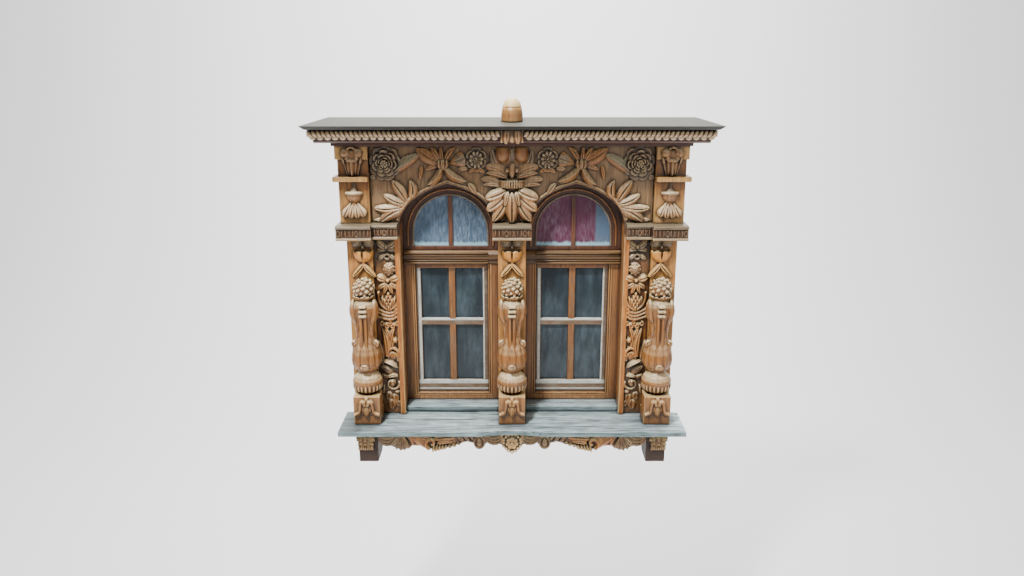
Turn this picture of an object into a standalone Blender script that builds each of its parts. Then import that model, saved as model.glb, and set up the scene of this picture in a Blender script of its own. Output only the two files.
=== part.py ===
"""Carved timber window surround: two arched lights between engaged columns,
under a hooded cornice and over a bracketed sill.

Metres, +Z up, the front faces -Y. Inside the script heights are measured from
the top of the sill, x from the middle line and "out" from the wall face
towards the street. One empty then lowers the whole work, so that the world
origin is the middle of the cornice board's flat back, where it is held.
"""
from math import atan2, cos, hypot, pi, sin, sqrt

import bmesh
import bpy
from mathutils import Matrix, Vector

# Clearance between pieces that touch
CLEAR = 0.0003

# Wall opening and window box
OPENING_HALF = 0.765
MULLION_HALF = 0.095
REVEAL_DEPTH = 0.130
FRAME_THICK = 0.060
LINING_THICK = 0.035
BOX_HEADROOM = 0.054

# Sill, step and what carries them
SILL_HALF = 1.197
SILL_OUT = 0.350
SILL_THICK = 0.035
SILL_WEAR = 0.030
SILL_WEAR_HALF = 0.240
STEP_THICK = 0.042
BRACKET_WIDTH = 0.134
BRACKET_MIDDLE = 1.007
BRACKET_OUT = 0.250
BRACKET_DROP = 0.271
BRACKET_FOOT = 0.150
BRACKET_HEEL = 0.120
CORNER_BLOCK_WIDTH = 0.128
CORNER_BLOCK_SHIFT = 0.018
CORNER_BLOCK_THICK = 0.024
CORNER_BLOCK_TOP = 0.045
CORNER_BLOCK_DROP = 0.179
APRON_OUT = 0.236
APRON_THICK = 0.020
APRON_DROP = 0.120
APRON_WAVE = 0.045
APRON_WAVES = 5

# Casing boards on the wall face
COLUMN_MIDDLE = 1.010
PILASTER_OUTER = 1.120
PILASTER_INNER = 0.948
PILASTER_OUT = 0.070
STRIP_OUT = 0.040
STRIP_BEAD_OUT = 0.054
STRIP_BEAD_WIDTH = 0.034
BOARD_OUT = 0.050

# Plinth blocks and columns
PLINTH_WIDTH = 0.183
PLINTH_OUT = 0.228
PLINTH_TOP = 0.215
PLINTH_PANEL = 0.008
PLINTH_PANEL_FOOT = 0.078
COLUMN_AXIS_OUT = 0.135
COLUMN_SIDES = 10
FINGERBOARD_HALF = 0.026

# Imposts
IMPOST_BASE = 1.305
IMPOST_HEIGHT = 0.100
IMPOST_OUTER = 1.168
IMPOST_BREAK = 0.934
IMPOST_OUT = 0.195
IMPOST_INNER_OUT = 0.150
IMPOST_CENTRE_HALF = 0.129
IMPOST_CENTRE_OUT = 0.185
IMPOST_LIP = 0.012
IMPOST_SLAB = 0.024
FLUTE_PITCH = 0.050
FLUTE_WIDTH = 0.026
FLUTE_DEPTH = 0.008

# Upper posts and head board
POST_OUTER = 1.149
POST_INNER = 0.947
POST_OUT = 0.090
POST_CAP_HEIGHT = 0.088
POST_CAP_STEP = 0.014
SHELF_DROP = 0.230
SHELF_THICK = 0.032
SHELF_STEP = 0.028
HEAD_HEIGHT = 0.514
ARCH_SPRING_RISE = 0.065
ARCH_RISE = 0.255
ARCH_KEEL = 0.041
ARCH_STEPS = 10

# Cornice, carved valance and roof
BED_OUT = 0.120
BED_HALF = 1.180
BED_THICK = 0.036
SOFFIT_OUT = 0.300
CORNICE_HALF = 1.250
SOFFIT_THICK = 0.028
CORNICE_OUT = 0.360
CORNICE_THICK = 0.064
VALANCE_HALF = 1.270
VALANCE_THICK = 0.012
VALANCE_HEIGHT = 0.068
SCALLOP_HEIGHT = 0.016
BEAD_PITCH = 0.050
BEAD_RADIUS = 0.026
KEYSTONE_HALF = 0.070
KEYSTONE_THICK = 0.030
KEYSTONE_HEIGHT = 0.089
ROOF_HALF_FRONT = 1.302
ROOF_HALF_BACK = 1.211
ROOF_OUT = 0.450
ROOF_THICK = 0.024
ROOF_FALL = 0.026
ROOF_UNDERCUT = 0.030
FINIAL_OUT = 0.200
FINIAL_RADIUS = 0.070
FINIAL_HEIGHT = 0.145

# Lights: the sashes below the transom and the fanlights above it
TRANSOM_BASE = 1.078
TRANSOM_HEIGHT = 0.093
TRANSOM_OUT = 0.030
JAMB_FACE = 0.080
FRAME_FOOT = 0.058
MULLION_FACE_HALF = 0.170
SASH_THICK = 0.026
SASH_SETBACK = 0.010
SASH_STILE = 0.038
SASH_FOOT_RAIL = 0.092
SASH_RAIL = 0.050
SASH_RAIL_SHARE = 0.53
SASH_MUNTIN = 0.046
GLASS_THICK = 0.004
GLASS_INSET = 0.012
FAN_HALF = 0.257
FAN_FOOT_RAIL = 0.029
FAN_LEG = 0.103
FAN_BAR = 0.030
FAN_BAR_THICK = 0.016
FAN_BAR_SETBACK = 0.004
FAN_STEPS = 10

# sRGB finishes: name, colour, roughness
OAK = ("weathered_carved_oak", "9A6B3F", 0.62)
OAK_PALE = ("sun_bleached_carving", "B99463", 0.60)
OAK_DARK = ("shaded_brown_oak", "4A2A1A", 0.65)
BOARD = ("grey_brown_board", "7C6650", 0.70)
GREY_BOARD = ("silvered_sill_board", "A9B8B8", 0.75)
GREY_PAINT = ("worn_grey_paint", "BDBDB2", 0.60)
FRAME_PAINT = ("brown_frame_paint", "7A5030", 0.55)
ROOF = ("weathered_roof_board", "85857A", 0.55)
PANE = ("dark_window_glass", "333C42", 0.08)
FAN_PANE_COOL = ("blue_fanlight_glass", "7492AD", 0.10)
FAN_PANE_WARM = ("maroon_fanlight_glass", "6B4A5E", 0.10)

# Lines that several pieces share
FRAME_BACK = REVEAL_DEPTH + FRAME_THICK
LIGHT_MIDDLE = (OPENING_HALF + MULLION_HALF) / 2
LIGHT_HALF = (OPENING_HALF - MULLION_HALF) / 2
UNDER_SILL = -SILL_THICK - CLEAR
COLUMN_ROOM = IMPOST_BASE - PLINTH_TOP
IMPOST_TOP = IMPOST_BASE + IMPOST_HEIGHT
HEAD_TOP = IMPOST_TOP + HEAD_HEIGHT
ARCH_SPRING = IMPOST_BASE + ARCH_SPRING_RISE
ARCH_APEX = ARCH_SPRING + ARCH_RISE + ARCH_KEEL
BOX_TOP = ARCH_APEX + BOX_HEADROOM
POST_CAP_BASE = HEAD_TOP - POST_CAP_HEIGHT
SOFFIT_BASE = HEAD_TOP + BED_THICK
CORNICE_TOP = SOFFIT_BASE + SOFFIT_THICK + CORNICE_THICK
HOLD_LEVEL = (HEAD_TOP + CORNICE_TOP) / 2
ROOF_EAVES = CORNICE_TOP + CLEAR + ROOF_THICK
TRANSOM_TOP = TRANSOM_BASE + TRANSOM_HEIGHT
SASH_HEIGHTS = (STEP_THICK + FRAME_FOOT + CLEAR, TRANSOM_BASE - CLEAR)


def clear_scene():
    for thing in list(bpy.data.objects):
        bpy.data.objects.remove(thing, do_unlink=True)


def collection(name):
    group = bpy.data.collections.new(name)
    bpy.context.scene.collection.children.link(group)
    return group


def srgb(code):
    channels = [int(code[i:i + 2], 16) / 255 for i in (0, 2, 4)]
    return [c / 12.92 if c <= 0.04045 else ((c + 0.055) / 1.055) ** 2.4 for c in channels] + [1.0]


def material(finish):
    name, code, roughness = finish
    found = bpy.data.materials.get(name)
    if found:
        return found
    made = bpy.data.materials.new(name)
    made.use_nodes = True
    shader = made.node_tree.nodes["Principled BSDF"]
    shader.inputs["Base Color"].default_value = srgb(code)
    shader.inputs["Roughness"].default_value = roughness
    shader.inputs["Metallic"].default_value = 0.0
    return made


def add_object(name, mesh, finish):
    """Link a piece, or a hidden cutter where it has no finish, under the setting-out empty."""
    piece = bpy.data.objects.new(name, mesh)
    piece.parent = SETTING_OUT
    if finish is None:
        CUTTERS.objects.link(piece)
        piece.hide_render = True
        piece.display_type = "WIRE"
    else:
        PARTS.objects.link(piece)
        mesh.materials.append(material(finish))
    return piece


def place(name, bm, finish):
    bmesh.ops.recalc_face_normals(bm, faces=bm.faces)
    mesh = bpy.data.meshes.new(name)
    bm.to_mesh(mesh)
    bm.free()
    return add_object(name, mesh, finish)


def boolean(piece, other, operation):
    change = piece.modifiers.new(operation.lower(), "BOOLEAN")
    change.operation = operation
    change.solver = "EXACT"
    change.use_self = operation != "DIFFERENCE"
    change.object = other


def add_box(bm, x, out, z):
    """A box between two x, two distances out from the wall face and two heights."""
    size = Vector((abs(x[1] - x[0]), abs(out[1] - out[0]), abs(z[1] - z[0])))
    middle = Vector(((x[0] + x[1]) / 2, -(out[0] + out[1]) / 2, (z[0] + z[1]) / 2))
    matrix = Matrix.Translation(middle) @ Matrix.Diagonal((*size, 1))
    bmesh.ops.create_cube(bm, size=1, matrix=matrix)


def box(name, x, out, z, finish):
    bm = bmesh.new()
    add_box(bm, x, out, z)
    return place(name, bm, finish)


def add_run(bm, corners, travel):
    """A flat outline of 3-D corners, extruded along one vector."""
    face = bm.faces.new([bm.verts.new(corner) for corner in corners])
    grown = bmesh.ops.extrude_face_region(bm, geom=[face])
    far = [vert for vert in grown["geom"] if isinstance(vert, bmesh.types.BMVert)]
    bmesh.ops.translate(bm, verts=far, vec=travel)


def add_panel(bm, outline, out):
    """An outline of (x, z) points, given thickness between two distances out."""
    add_run(bm, [(x, -out[0], z) for x, z in outline], (0, out[0] - out[1], 0))


def add_moulding(bm, profile, x):
    """A profile of (out, z) points, run between two x."""
    add_run(bm, [(x[0], -out, z) for out, z in profile], (x[1] - x[0], 0, 0))


def add_leaf(bm, root, tip, width, out, thick, bow=0.0, lift=0.0):
    """A closed pointed leaf with a midrib, from root to tip across the face."""
    along = Vector((tip[0] - root[0], 0, tip[1] - root[1]))
    across = Vector((along.z, 0, -along.x)).normalized()
    made = bmesh.ops.create_uvsphere(bm, u_segments=4, v_segments=3, radius=1)
    for vert in made["verts"]:
        t = (vert.co.z + 1) / 2
        spot = Vector((root[0], -out, root[1])) + along * t
        spot += across * (vert.co.x * width / 2 + bow * sin(pi * t))
        spot.y += vert.co.y * thick - lift * t * t
        vert.co = spot


def add_knob(bm, at, out, radii, sides=6):
    """A rounded boss: its middle at (x, z), with radii across, out and up."""
    matrix = Matrix.Translation((at[0], -out, at[1])) @ Matrix.Diagonal((*radii, 1))
    bmesh.ops.create_uvsphere(bm, u_segments=sides, v_segments=3, radius=1, matrix=matrix)


def add_bloom(bm, at, out, reach, petals, rim, heart, tall=1.0, first=0.0):
    """A round flower: lobed petals with a raised rim, a dip, and a proud heart."""
    made = bmesh.ops.create_uvsphere(bm, u_segments=2 * petals, v_segments=6, radius=1)
    for vert in made["verts"]:
        radius, front = hypot(vert.co.x, vert.co.y), vert.co.z
        turn = atan2(vert.co.y, vert.co.x)
        lobe = cos(petals * turn)
        spread = reach * radius * (1 + 0.12 * lobe)
        if front < -0.1:
            proud = -rim
        elif radius < 0.1:
            proud = heart
        elif radius < 0.7:
            proud = heart * 0.45
        else:
            proud = rim * (1 + 0.35 * lobe) if front > 0.1 else 0.0
        turn += first
        vert.co = Vector((at[0] + spread * cos(turn), -out - proud, at[1] + spread * tall * sin(turn)))


def fuse(name, bm, finish, back, side=1, middle=0.0, within=None):
    """One body from overlapping shapes drawn for the right-hand side, cut flat at the back."""
    bmesh.ops.transform(bm, matrix=Matrix.Diagonal((side, 1, 1, 1)), verts=bm.verts)
    bmesh.ops.translate(bm, verts=bm.verts, vec=(side * middle, 0, 0))
    piece = place(name, bm, finish)
    margin = 0.01
    low = [min(vert.co[i] for vert in piece.data.vertices) - margin for i in range(3)]
    high = [max(vert.co[i] for vert in piece.data.vertices) + margin for i in range(3)]
    x = within or (low[0], high[0])
    boolean(piece, box(name + "_keep", x, (back, -low[1]), (low[2], high[2]), None), "INTERSECT")
    return piece


def named(stem, side):
    return stem + ("_left" if side < 0 else "_right")


def span(side, inner, outer):
    return sorted((side * inner, side * outer))


# Sill, step, brackets and apron

def sill_board():
    """One board whose horns cross the wall face and whose tongue runs under the frame."""
    steps = 8
    front = []
    for i in range(steps + 1):
        x = SILL_WEAR_HALF * (2 * i / steps - 1)
        front.append((x, SILL_OUT - SILL_WEAR * cos(pi * x / SILL_WEAR_HALF / 2)))
    tongue = OPENING_HALF - CLEAR
    plan = [(-SILL_HALF, SILL_OUT)] + front + [(SILL_HALF, SILL_OUT), (SILL_HALF, 0), (tongue, 0)]
    plan += [(tongue, -FRAME_BACK), (-tongue, -FRAME_BACK), (-tongue, 0), (-SILL_HALF, 0)]
    bm = bmesh.new()
    add_run(bm, [(x, -out, -SILL_THICK) for x, out in plan], (0, 0, SILL_THICK))
    place("sill_board", bm, GREY_BOARD)


def step_board():
    reach = OPENING_HALF - 2 * CLEAR
    box("step_board", (-reach, reach), (0, -FRAME_BACK), (CLEAR, STEP_THICK), GREY_BOARD)


def bracket(side):
    foot_in = BRACKET_OUT - BRACKET_FOOT
    profile = [(0, UNDER_SILL), (0, -BRACKET_HEEL)]
    steps = 5
    for i in range(1, steps + 1):
        turn = pi / 2 * i / steps
        fall = (BRACKET_DROP - BRACKET_HEEL) * sin(turn)
        profile.append((foot_in * (1 - cos(turn)), -BRACKET_HEEL - fall))
    profile += [(BRACKET_OUT, -BRACKET_DROP), (BRACKET_OUT, UNDER_SILL)]
    middle = side * BRACKET_MIDDLE
    bm = bmesh.new()
    add_moulding(bm, profile, (middle - BRACKET_WIDTH / 2, middle + BRACKET_WIDTH / 2))
    place(named("bracket", side), bm, OAK_DARK)


def corner_block(side):
    """A tapered block with a four-petalled rose, fixed on the bracket's face."""
    half = CORNER_BLOCK_WIDTH / 2
    centre = -(CORNER_BLOCK_TOP + CORNER_BLOCK_DROP) / 2
    face = BRACKET_OUT + CORNER_BLOCK_THICK / 2
    outline = [(-half, -CORNER_BLOCK_TOP), (half, -CORNER_BLOCK_TOP), (half, centre),
               (half * 0.8, -CORNER_BLOCK_DROP), (-half * 0.8, -CORNER_BLOCK_DROP), (-half, centre)]
    bm = bmesh.new()
    add_panel(bm, outline, (BRACKET_OUT - CORNER_BLOCK_THICK, face))
    add_bloom(bm, (0, centre), face, half * 0.8, 4, CORNER_BLOCK_THICK * 0.4, CORNER_BLOCK_THICK * 0.5,
              first=pi / 4)
    fuse(named("corner_block", side), bm, OAK_PALE, BRACKET_OUT + CLEAR, side,
         BRACKET_MIDDLE + CORNER_BLOCK_SHIFT)


def apron():
    """Carved board between the brackets: swags between fans, scroll leaves and ovals."""
    reach = BRACKET_MIDDLE - BRACKET_WIDTH / 2 - CLEAR
    steps = 24
    lower = []
    for i in range(steps + 1):
        share = 2 * i / steps - 1
        drop = APRON_DROP + APRON_WAVE * abs(cos(pi * APRON_WAVES * share / 2))
        lower.append((share * reach, -drop))
    bm = bmesh.new()
    add_panel(bm, [(reach, 0), (-reach, 0)] + lower, (APRON_OUT - APRON_THICK, APRON_OUT))
    middle = -(SILL_THICK + APRON_DROP + APRON_WAVE) / 2
    fan_x, scroll_x, oval_x = reach * 0.825, reach * 0.553, reach * 0.242
    for side in (-1, 1):
        root = (side * fan_x, middle + 0.030)
        for i in range(3):
            turn = -pi / 2 + (i - 1) * 0.62
            tip = (root[0] + 0.118 * cos(turn), root[1] + 0.118 * sin(turn))
            add_leaf(bm, root, tip, 0.062, APRON_OUT, 0.016)
        add_leaf(bm, (side * (scroll_x + 0.17), middle - 0.030), (side * (scroll_x - 0.17), middle), 0.066,
                 APRON_OUT, 0.020, bow=side * 0.02)
        add_knob(bm, (side * oval_x, middle - 0.030), APRON_OUT, (0.040, 0.022, 0.046))
    add_bloom(bm, (0, middle - 0.015), APRON_OUT, 0.062, 5, 0.018, 0.034, first=pi / 2)
    add_leaf(bm, (0, middle - 0.040), (0, middle - 0.114), 0.056, APRON_OUT, 0.018)
    piece = fuse("apron", bm, OAK_PALE, APRON_OUT - APRON_THICK + CLEAR)
    above = box("apron_top", (-SILL_HALF, SILL_HALF), (0, SILL_OUT), (UNDER_SILL, SILL_OUT), None)
    boolean(piece, above, "DIFFERENCE")


# Casing: pilasters, plinths, columns and capitals

def pilaster(name, x):
    box(name, x, (0, PILASTER_OUT), (CLEAR, IMPOST_BASE - CLEAR), OAK)


def plinth(name, middle):
    """Block with a raised apron panel, whose leaf hangs between two flared tails."""
    half = PLINTH_WIDTH / 2
    face = PLINTH_OUT + PLINTH_PANEL
    bm = bmesh.new()
    add_box(bm, (-half, half), (PILASTER_OUT - 0.01, PLINTH_OUT), (CLEAR, PLINTH_TOP))
    add_box(bm, (-half * 0.98, half * 0.98), (PLINTH_OUT / 2, face), (PLINTH_PANEL_FOOT, PLINTH_TOP * 0.95))
    for side in (-1, 1):
        add_leaf(bm, (side * half * 0.24, PLINTH_TOP * 0.77), (side * half * 0.94, PLINTH_PANEL_FOOT - 0.004),
                 half * 0.3, face, 0.010, bow=side * half * 0.15)
    add_leaf(bm, (0, PLINTH_TOP * 0.75), (0, PLINTH_PANEL_FOOT - 0.024), half * 0.56, face, 0.014)
    fuse(name, bm, OAK, PILASTER_OUT + CLEAR, 1, middle)


def turned(name, profile, sides, finish):
    """A closed turned body from (radius, height) points that run from the top down."""
    mesh = bpy.data.meshes.new(name)
    edges = [(i, i + 1) for i in range(len(profile) - 1)]
    mesh.from_pydata([(radius, 0, height) for radius, height in profile], edges, [])
    piece = add_object(name, mesh, finish)
    turn = piece.modifiers.new("turned", "SCREW")
    turn.axis = "Z"
    turn.steps = turn.render_steps = sides
    turn.use_merge_vertices = True
    turn.merge_threshold = 0.0001
    return piece


def column_profile():
    """(radius, height) down the column: flower ball, lute body and gadrooned bun.
    Heights are shares of the room between plinth and impost."""
    ball = [(0.0, 0.757), (0.066, 0.720), (0.080, 0.674), (0.050, 0.6165)]
    lute = [(0.092, 0.587), (0.088, 0.537), (0.058, 0.440), (0.068, 0.3395), (0.104, 0.229), (0.086, 0.174),
            (0.056, 0.147)]
    bun = [(0.088, 0.1175), (0.103, 0.075), (0.088, 0.031), (0.062, 0.0)]
    return [(radius, share * COLUMN_ROOM) for radius, share in ball + lute + bun + [(0.0, 0.0)]]


def column(name, middle):
    piece = turned(name, column_profile(), COLUMN_SIDES, OAK_PALE)
    foot = PLINTH_TOP + CLEAR
    piece.location = (middle, -COLUMN_AXIS_OUT, foot)
    bm = bmesh.new()
    board = [(0.0, 0.349), (0.072, 0.349), (0.072, 0.514), (0.103, 0.550), (0.103, 0.596), (0.0, 0.596)]
    add_moulding(bm, [(COLUMN_AXIS_OUT + out, foot + share * COLUMN_ROOM) for out, share in board],
                 (-FINGERBOARD_HALF, FINGERBOARD_HALF))
    for side in (-1, 1):
        add_knob(bm, (side * 0.066, foot + 0.335 * COLUMN_ROOM), COLUMN_AXIS_OUT, (0.022, 0.030, 0.026))
    add_knob(bm, (0, foot + 0.193 * COLUMN_ROOM), COLUMN_AXIS_OUT + 0.086, (0.032, 0.022, 0.024))
    bmesh.ops.translate(bm, verts=bm.verts, vec=(middle, 0, 0))
    boolean(piece, place(name + "_fittings", bm, None), "UNION")
    x = (middle - PLINTH_WIDTH, middle + PLINTH_WIDTH)
    keep = box(name + "_keep", x, (PILASTER_OUT + CLEAR, SILL_OUT), (0, IMPOST_TOP), None)
    boolean(piece, keep, "INTERSECT")
    piece.data.shade_smooth()


def capital(name, middle):
    """Half bowl between a pair of lobes above and a chevron of leaves below."""
    bowl_half, bowl_out = 0.066, 0.085
    bowl_top, bowl_depth = IMPOST_BASE - 0.091 * COLUMN_ROOM, 0.067 * COLUMN_ROOM

    def level(share):
        """A height over or under the bowl's rim, as a share of the column's room."""
        return bowl_top + share * COLUMN_ROOM

    bm = bmesh.new()
    made = bmesh.ops.create_uvsphere(bm, u_segments=8, v_segments=4, radius=1)
    for vert in made["verts"]:
        below = min(vert.co.z, 0.12)
        vert.co = Vector((vert.co.x * bowl_half, vert.co.y * bowl_out - PILASTER_OUT,
                          bowl_top + below * bowl_depth))
    for side in (-1, 1):
        add_leaf(bm, (0, level(-0.075)), (side * 0.068, level(-0.161)), 0.040, PILASTER_OUT, 0.032)
        add_leaf(bm, (side * 0.002, level(-0.004)), (side * 0.084, level(0.084)), 0.090, PILASTER_OUT, 0.072)
    add_knob(bm, (0, level(-0.072)), PILASTER_OUT + 0.02, (0.014, 0.022, 0.018))
    piece = fuse(name, bm, OAK_PALE, PILASTER_OUT + CLEAR, 1, middle)
    x = (middle - PLINTH_WIDTH, middle + PLINTH_WIDTH)
    above = box(name + "_head", x, (0, SILL_OUT), (IMPOST_BASE - CLEAR, IMPOST_TOP), None)
    boolean(piece, above, "DIFFERENCE")


# Carved strips beside the lights

def carved_strip(side):
    """Board with a plain bead on its inner edge and a climbing chain of carving."""
    outer = PILASTER_INNER - CLEAR
    inner = OPENING_HALF
    top = IMPOST_BASE - CLEAR
    edge = inner + STRIP_BEAD_WIDTH
    middle, half = (outer + edge) / 2, (outer - edge) / 2
    face = STRIP_OUT

    def leaf(root, tip, width, thick, bow=0.0):
        """A leaf on the field: shares of its half width across, and of its height up."""
        ends = [(middle + across * half, up * top) for across, up in (root, tip)]
        add_leaf(bm, *ends, width, face, thick, bow=bow)

    def knob(at, radius, proud):
        add_knob(bm, (middle + at[0] * half, at[1] * top), face, (radius, proud, radius))

    bm = bmesh.new()
    add_box(bm, (inner - 0.01, outer + 0.01), (-0.01, STRIP_OUT), (CLEAR, top))
    add_box(bm, (inner - 0.01, edge), (0.01, STRIP_BEAD_OUT), (CLEAR * 2, top - CLEAR))
    for across in (-1, 1):
        leaf((0, 0.942), (across * 0.9, 0.985), 0.046, 0.016)
        leaf((0, 0.942), (across * 0.9, 0.900), 0.046, 0.016)
        leaf((0, 0.758), (across * 0.98, 0.775), 0.040, 0.020, across * 0.010)
        leaf((0, 0.758), (across * 0.90, 0.735), 0.044, 0.020)
        leaf((0, 0.756), (across * 0.45, 0.705), 0.044, 0.020)
        leaf((across * 0.05, 0.602), (across * 0.50, 0.700), 0.036, 0.026)
        leaf((-across * 0.08, 0.584), (across * 0.98, 0.628), 0.026, 0.020, across * 0.014)
        leaf((-across * 0.08, 0.560), (across * 0.98, 0.600), 0.026, 0.018, across * 0.014)
        leaf((0, 0.158), (across * 0.95, 0.232), 0.028, 0.020, across * 0.022)
    knob((0, 0.832), 0.040, 0.030)
    knob((0, 0.526), 0.036, 0.028)
    leaf((0.35, 0.360), (-0.60, 0.502), 0.060, 0.024, 0.016)
    knob((-0.62, 0.442), 0.028, 0.034)
    knob((-0.38, 0.390), 0.040, 0.036)
    leaf((0.98, 0.325), (-0.98, 0.273), 0.052, 0.022)
    knob((-0.10, 0.198), 0.030, 0.034)
    leaf((0.75, 0.108), (-0.75, 0.050), 0.080, 0.010)
    fuse(named("carved_strip", side), bm, OAK, 0, side, within=span(side, inner, outer))


# Imposts

def impost_profile(out):
    lip_top = IMPOST_BASE + IMPOST_LIP * 1.3
    slab = IMPOST_TOP - IMPOST_SLAB
    return [(-0.01, IMPOST_BASE), (out, IMPOST_BASE), (out, lip_top), (out - IMPOST_LIP, lip_top),
            (out - IMPOST_LIP, slab), (out + IMPOST_LIP / 2, slab),
            (out + IMPOST_LIP / 2, slab + IMPOST_SLAB * 0.4), (out - IMPOST_LIP, IMPOST_TOP),
            (-0.01, IMPOST_TOP)]


def cut_flutes(piece, runs):
    """Cut upright grooves in the band. A run is (x0, x1, out)."""
    low = IMPOST_BASE + IMPOST_LIP * 2.2
    high = IMPOST_TOP - IMPOST_SLAB - IMPOST_LIP
    bm = bmesh.new()
    for x0, x1, out in runs:
        face = out - IMPOST_LIP
        count = int((x1 - x0 - FLUTE_PITCH / 2) / FLUTE_PITCH)
        first = (x0 + x1 - (count - 1) * FLUTE_PITCH) / 2
        for i in range(count):
            x = first + i * FLUTE_PITCH
            add_box(bm, (x - FLUTE_WIDTH / 2, x + FLUTE_WIDTH / 2),
                    (face - FLUTE_DEPTH, face + IMPOST_LIP / 2), (low, high))
    boolean(piece, place(piece.name + "_flutes", bm, None), "DIFFERENCE")


def impost(side):
    """Moulded block that breaks forward over the column."""
    bm = bmesh.new()
    add_moulding(bm, impost_profile(IMPOST_OUT), (IMPOST_BREAK, IMPOST_OUTER))
    add_moulding(bm, impost_profile(IMPOST_INNER_OUT), (OPENING_HALF, IMPOST_BREAK + 0.02))
    piece = fuse(named("impost", side), bm, BOARD, 0, side)
    cut_flutes(piece, [(*span(side, IMPOST_BREAK, IMPOST_OUTER), IMPOST_OUT),
                       (*span(side, OPENING_HALF, IMPOST_BREAK), IMPOST_INNER_OUT)])


def impost_centre():
    half = IMPOST_CENTRE_HALF
    bm = bmesh.new()
    add_moulding(bm, impost_profile(IMPOST_CENTRE_OUT), (-half, half))
    piece = fuse("impost_centre", bm, BOARD, 0)
    cut_flutes(piece, [(-half, half, IMPOST_CENTRE_OUT)])


# Upper posts and their drops

def upper_post(side):
    """Post with a shelf moulding and a thicker head, worked in one."""
    inner = POST_INNER + CLEAR
    shelf = HEAD_TOP - SHELF_DROP
    bm = bmesh.new()
    add_box(bm, (inner, POST_OUTER), (-0.01, POST_OUT), (IMPOST_TOP + CLEAR, HEAD_TOP - CLEAR))
    add_box(bm, (inner, POST_OUTER + POST_CAP_STEP), (-0.01, POST_OUT + POST_CAP_STEP),
            (POST_CAP_BASE, HEAD_TOP - CLEAR))
    add_box(bm, (inner, POST_OUTER + SHELF_STEP), (-0.01, POST_OUT + SHELF_STEP * 2),
            (shelf, shelf + SHELF_THICK))
    fuse(named("upper_post", side), bm, BOARD, 0, side)


def tulip_drop(side):
    """Two pairs of curled lobes round a bud, with a tapering tail down the post."""
    head = POST_OUT + POST_CAP_STEP
    top = HEAD_TOP - 0.010
    bm = bmesh.new()
    for across in (-1, 1):
        add_leaf(bm, (across * 0.002, top), (across * 0.070, top - 0.056), 0.052, head, 0.034,
                 bow=across * 0.014)
        add_leaf(bm, (across * 0.002, top - 0.050), (across * 0.048, top - 0.100), 0.034, head, 0.028)
    add_leaf(bm, (0, top - 0.020), (0, top - 0.186), 0.052, head, 0.032)
    piece = fuse(named("tulip_drop", side), bm, OAK_PALE, POST_OUT + CLEAR, side,
                 (POST_INNER + POST_OUTER) / 2)
    block = box(named("tulip_seat", side), span(side, POST_INNER / 2, POST_OUTER * 2), (0, head + CLEAR),
                (POST_CAP_BASE - CLEAR, HEAD_TOP), None)
    boolean(piece, block, "DIFFERENCE")


def bell_drop(side):
    """Spike, cup and flared skirt of petals, one below another."""
    face = POST_OUT
    top = HEAD_TOP - SHELF_DROP - 0.013
    bm = bmesh.new()
    add_leaf(bm, (0, top), (0, top - 0.086), 0.024, face, 0.018)
    add_knob(bm, (0, top - 0.092), face, (0.062, 0.044, 0.046))
    for i in range(3):
        lean = i - 1
        add_leaf(bm, (lean * 0.012, top - 0.116), (lean * 0.082, top - 0.238 + 0.008 * abs(lean)), 0.066,
                 face, 0.028, lift=0.014)
    fuse(named("bell_drop", side), bm, OAK_PALE, face + CLEAR, side, (POST_INNER + POST_OUTER) / 2)


# Head board, its keel arches and the carving on it

def keel_arch():
    """Outline of one pointed opening round its own middle, from foot to foot."""
    left = []
    for i in range(ARCH_STEPS + 1):
        u = cos(pi / 2 * i / ARCH_STEPS)
        height = ARCH_SPRING + ARCH_RISE * sqrt(1 - u * u) + ARCH_KEEL * (1 - u) ** 2
        left.append((-LIGHT_HALF * u, height))
    right = [(-x, z) for x, z in reversed(left[:-1])]
    foot = TRANSOM_BASE
    return [(-LIGHT_HALF, foot)] + left + right + [(LIGHT_HALF, foot)]


def arch_cutter(name, side, out):
    bm = bmesh.new()
    add_panel(bm, [(x + side * LIGHT_MIDDLE, z) for x, z in keel_arch()], out)
    return place(name, bm, None)


def spandrel_board():
    reach = POST_INNER - CLEAR
    board = box("spandrel_board", (-reach, reach), (0, BOARD_OUT), (IMPOST_TOP + CLEAR, HEAD_TOP - CLEAR),
                BOARD)
    for side in (-1, 1):
        boolean(board, arch_cutter(named("spandrel_arch", side), side, (-0.1, BOARD_OUT + 0.1)), "DIFFERENCE")


def peony(side):
    """Open flower in the top corner, with one leaf that reaches towards the lily."""
    middle, level = POST_INNER - 0.106, HEAD_TOP - 0.117
    bm = bmesh.new()
    add_bloom(bm, (0, level), BOARD_OUT, 0.092, 8, 0.026, 0.048, tall=1.1)
    add_leaf(bm, (-0.060, level - 0.056), (-0.226, level + 0.050), 0.054, BOARD_OUT, 0.018)
    fuse(named("peony", side), bm, OAK, BOARD_OUT + CLEAR, side, middle)


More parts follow.
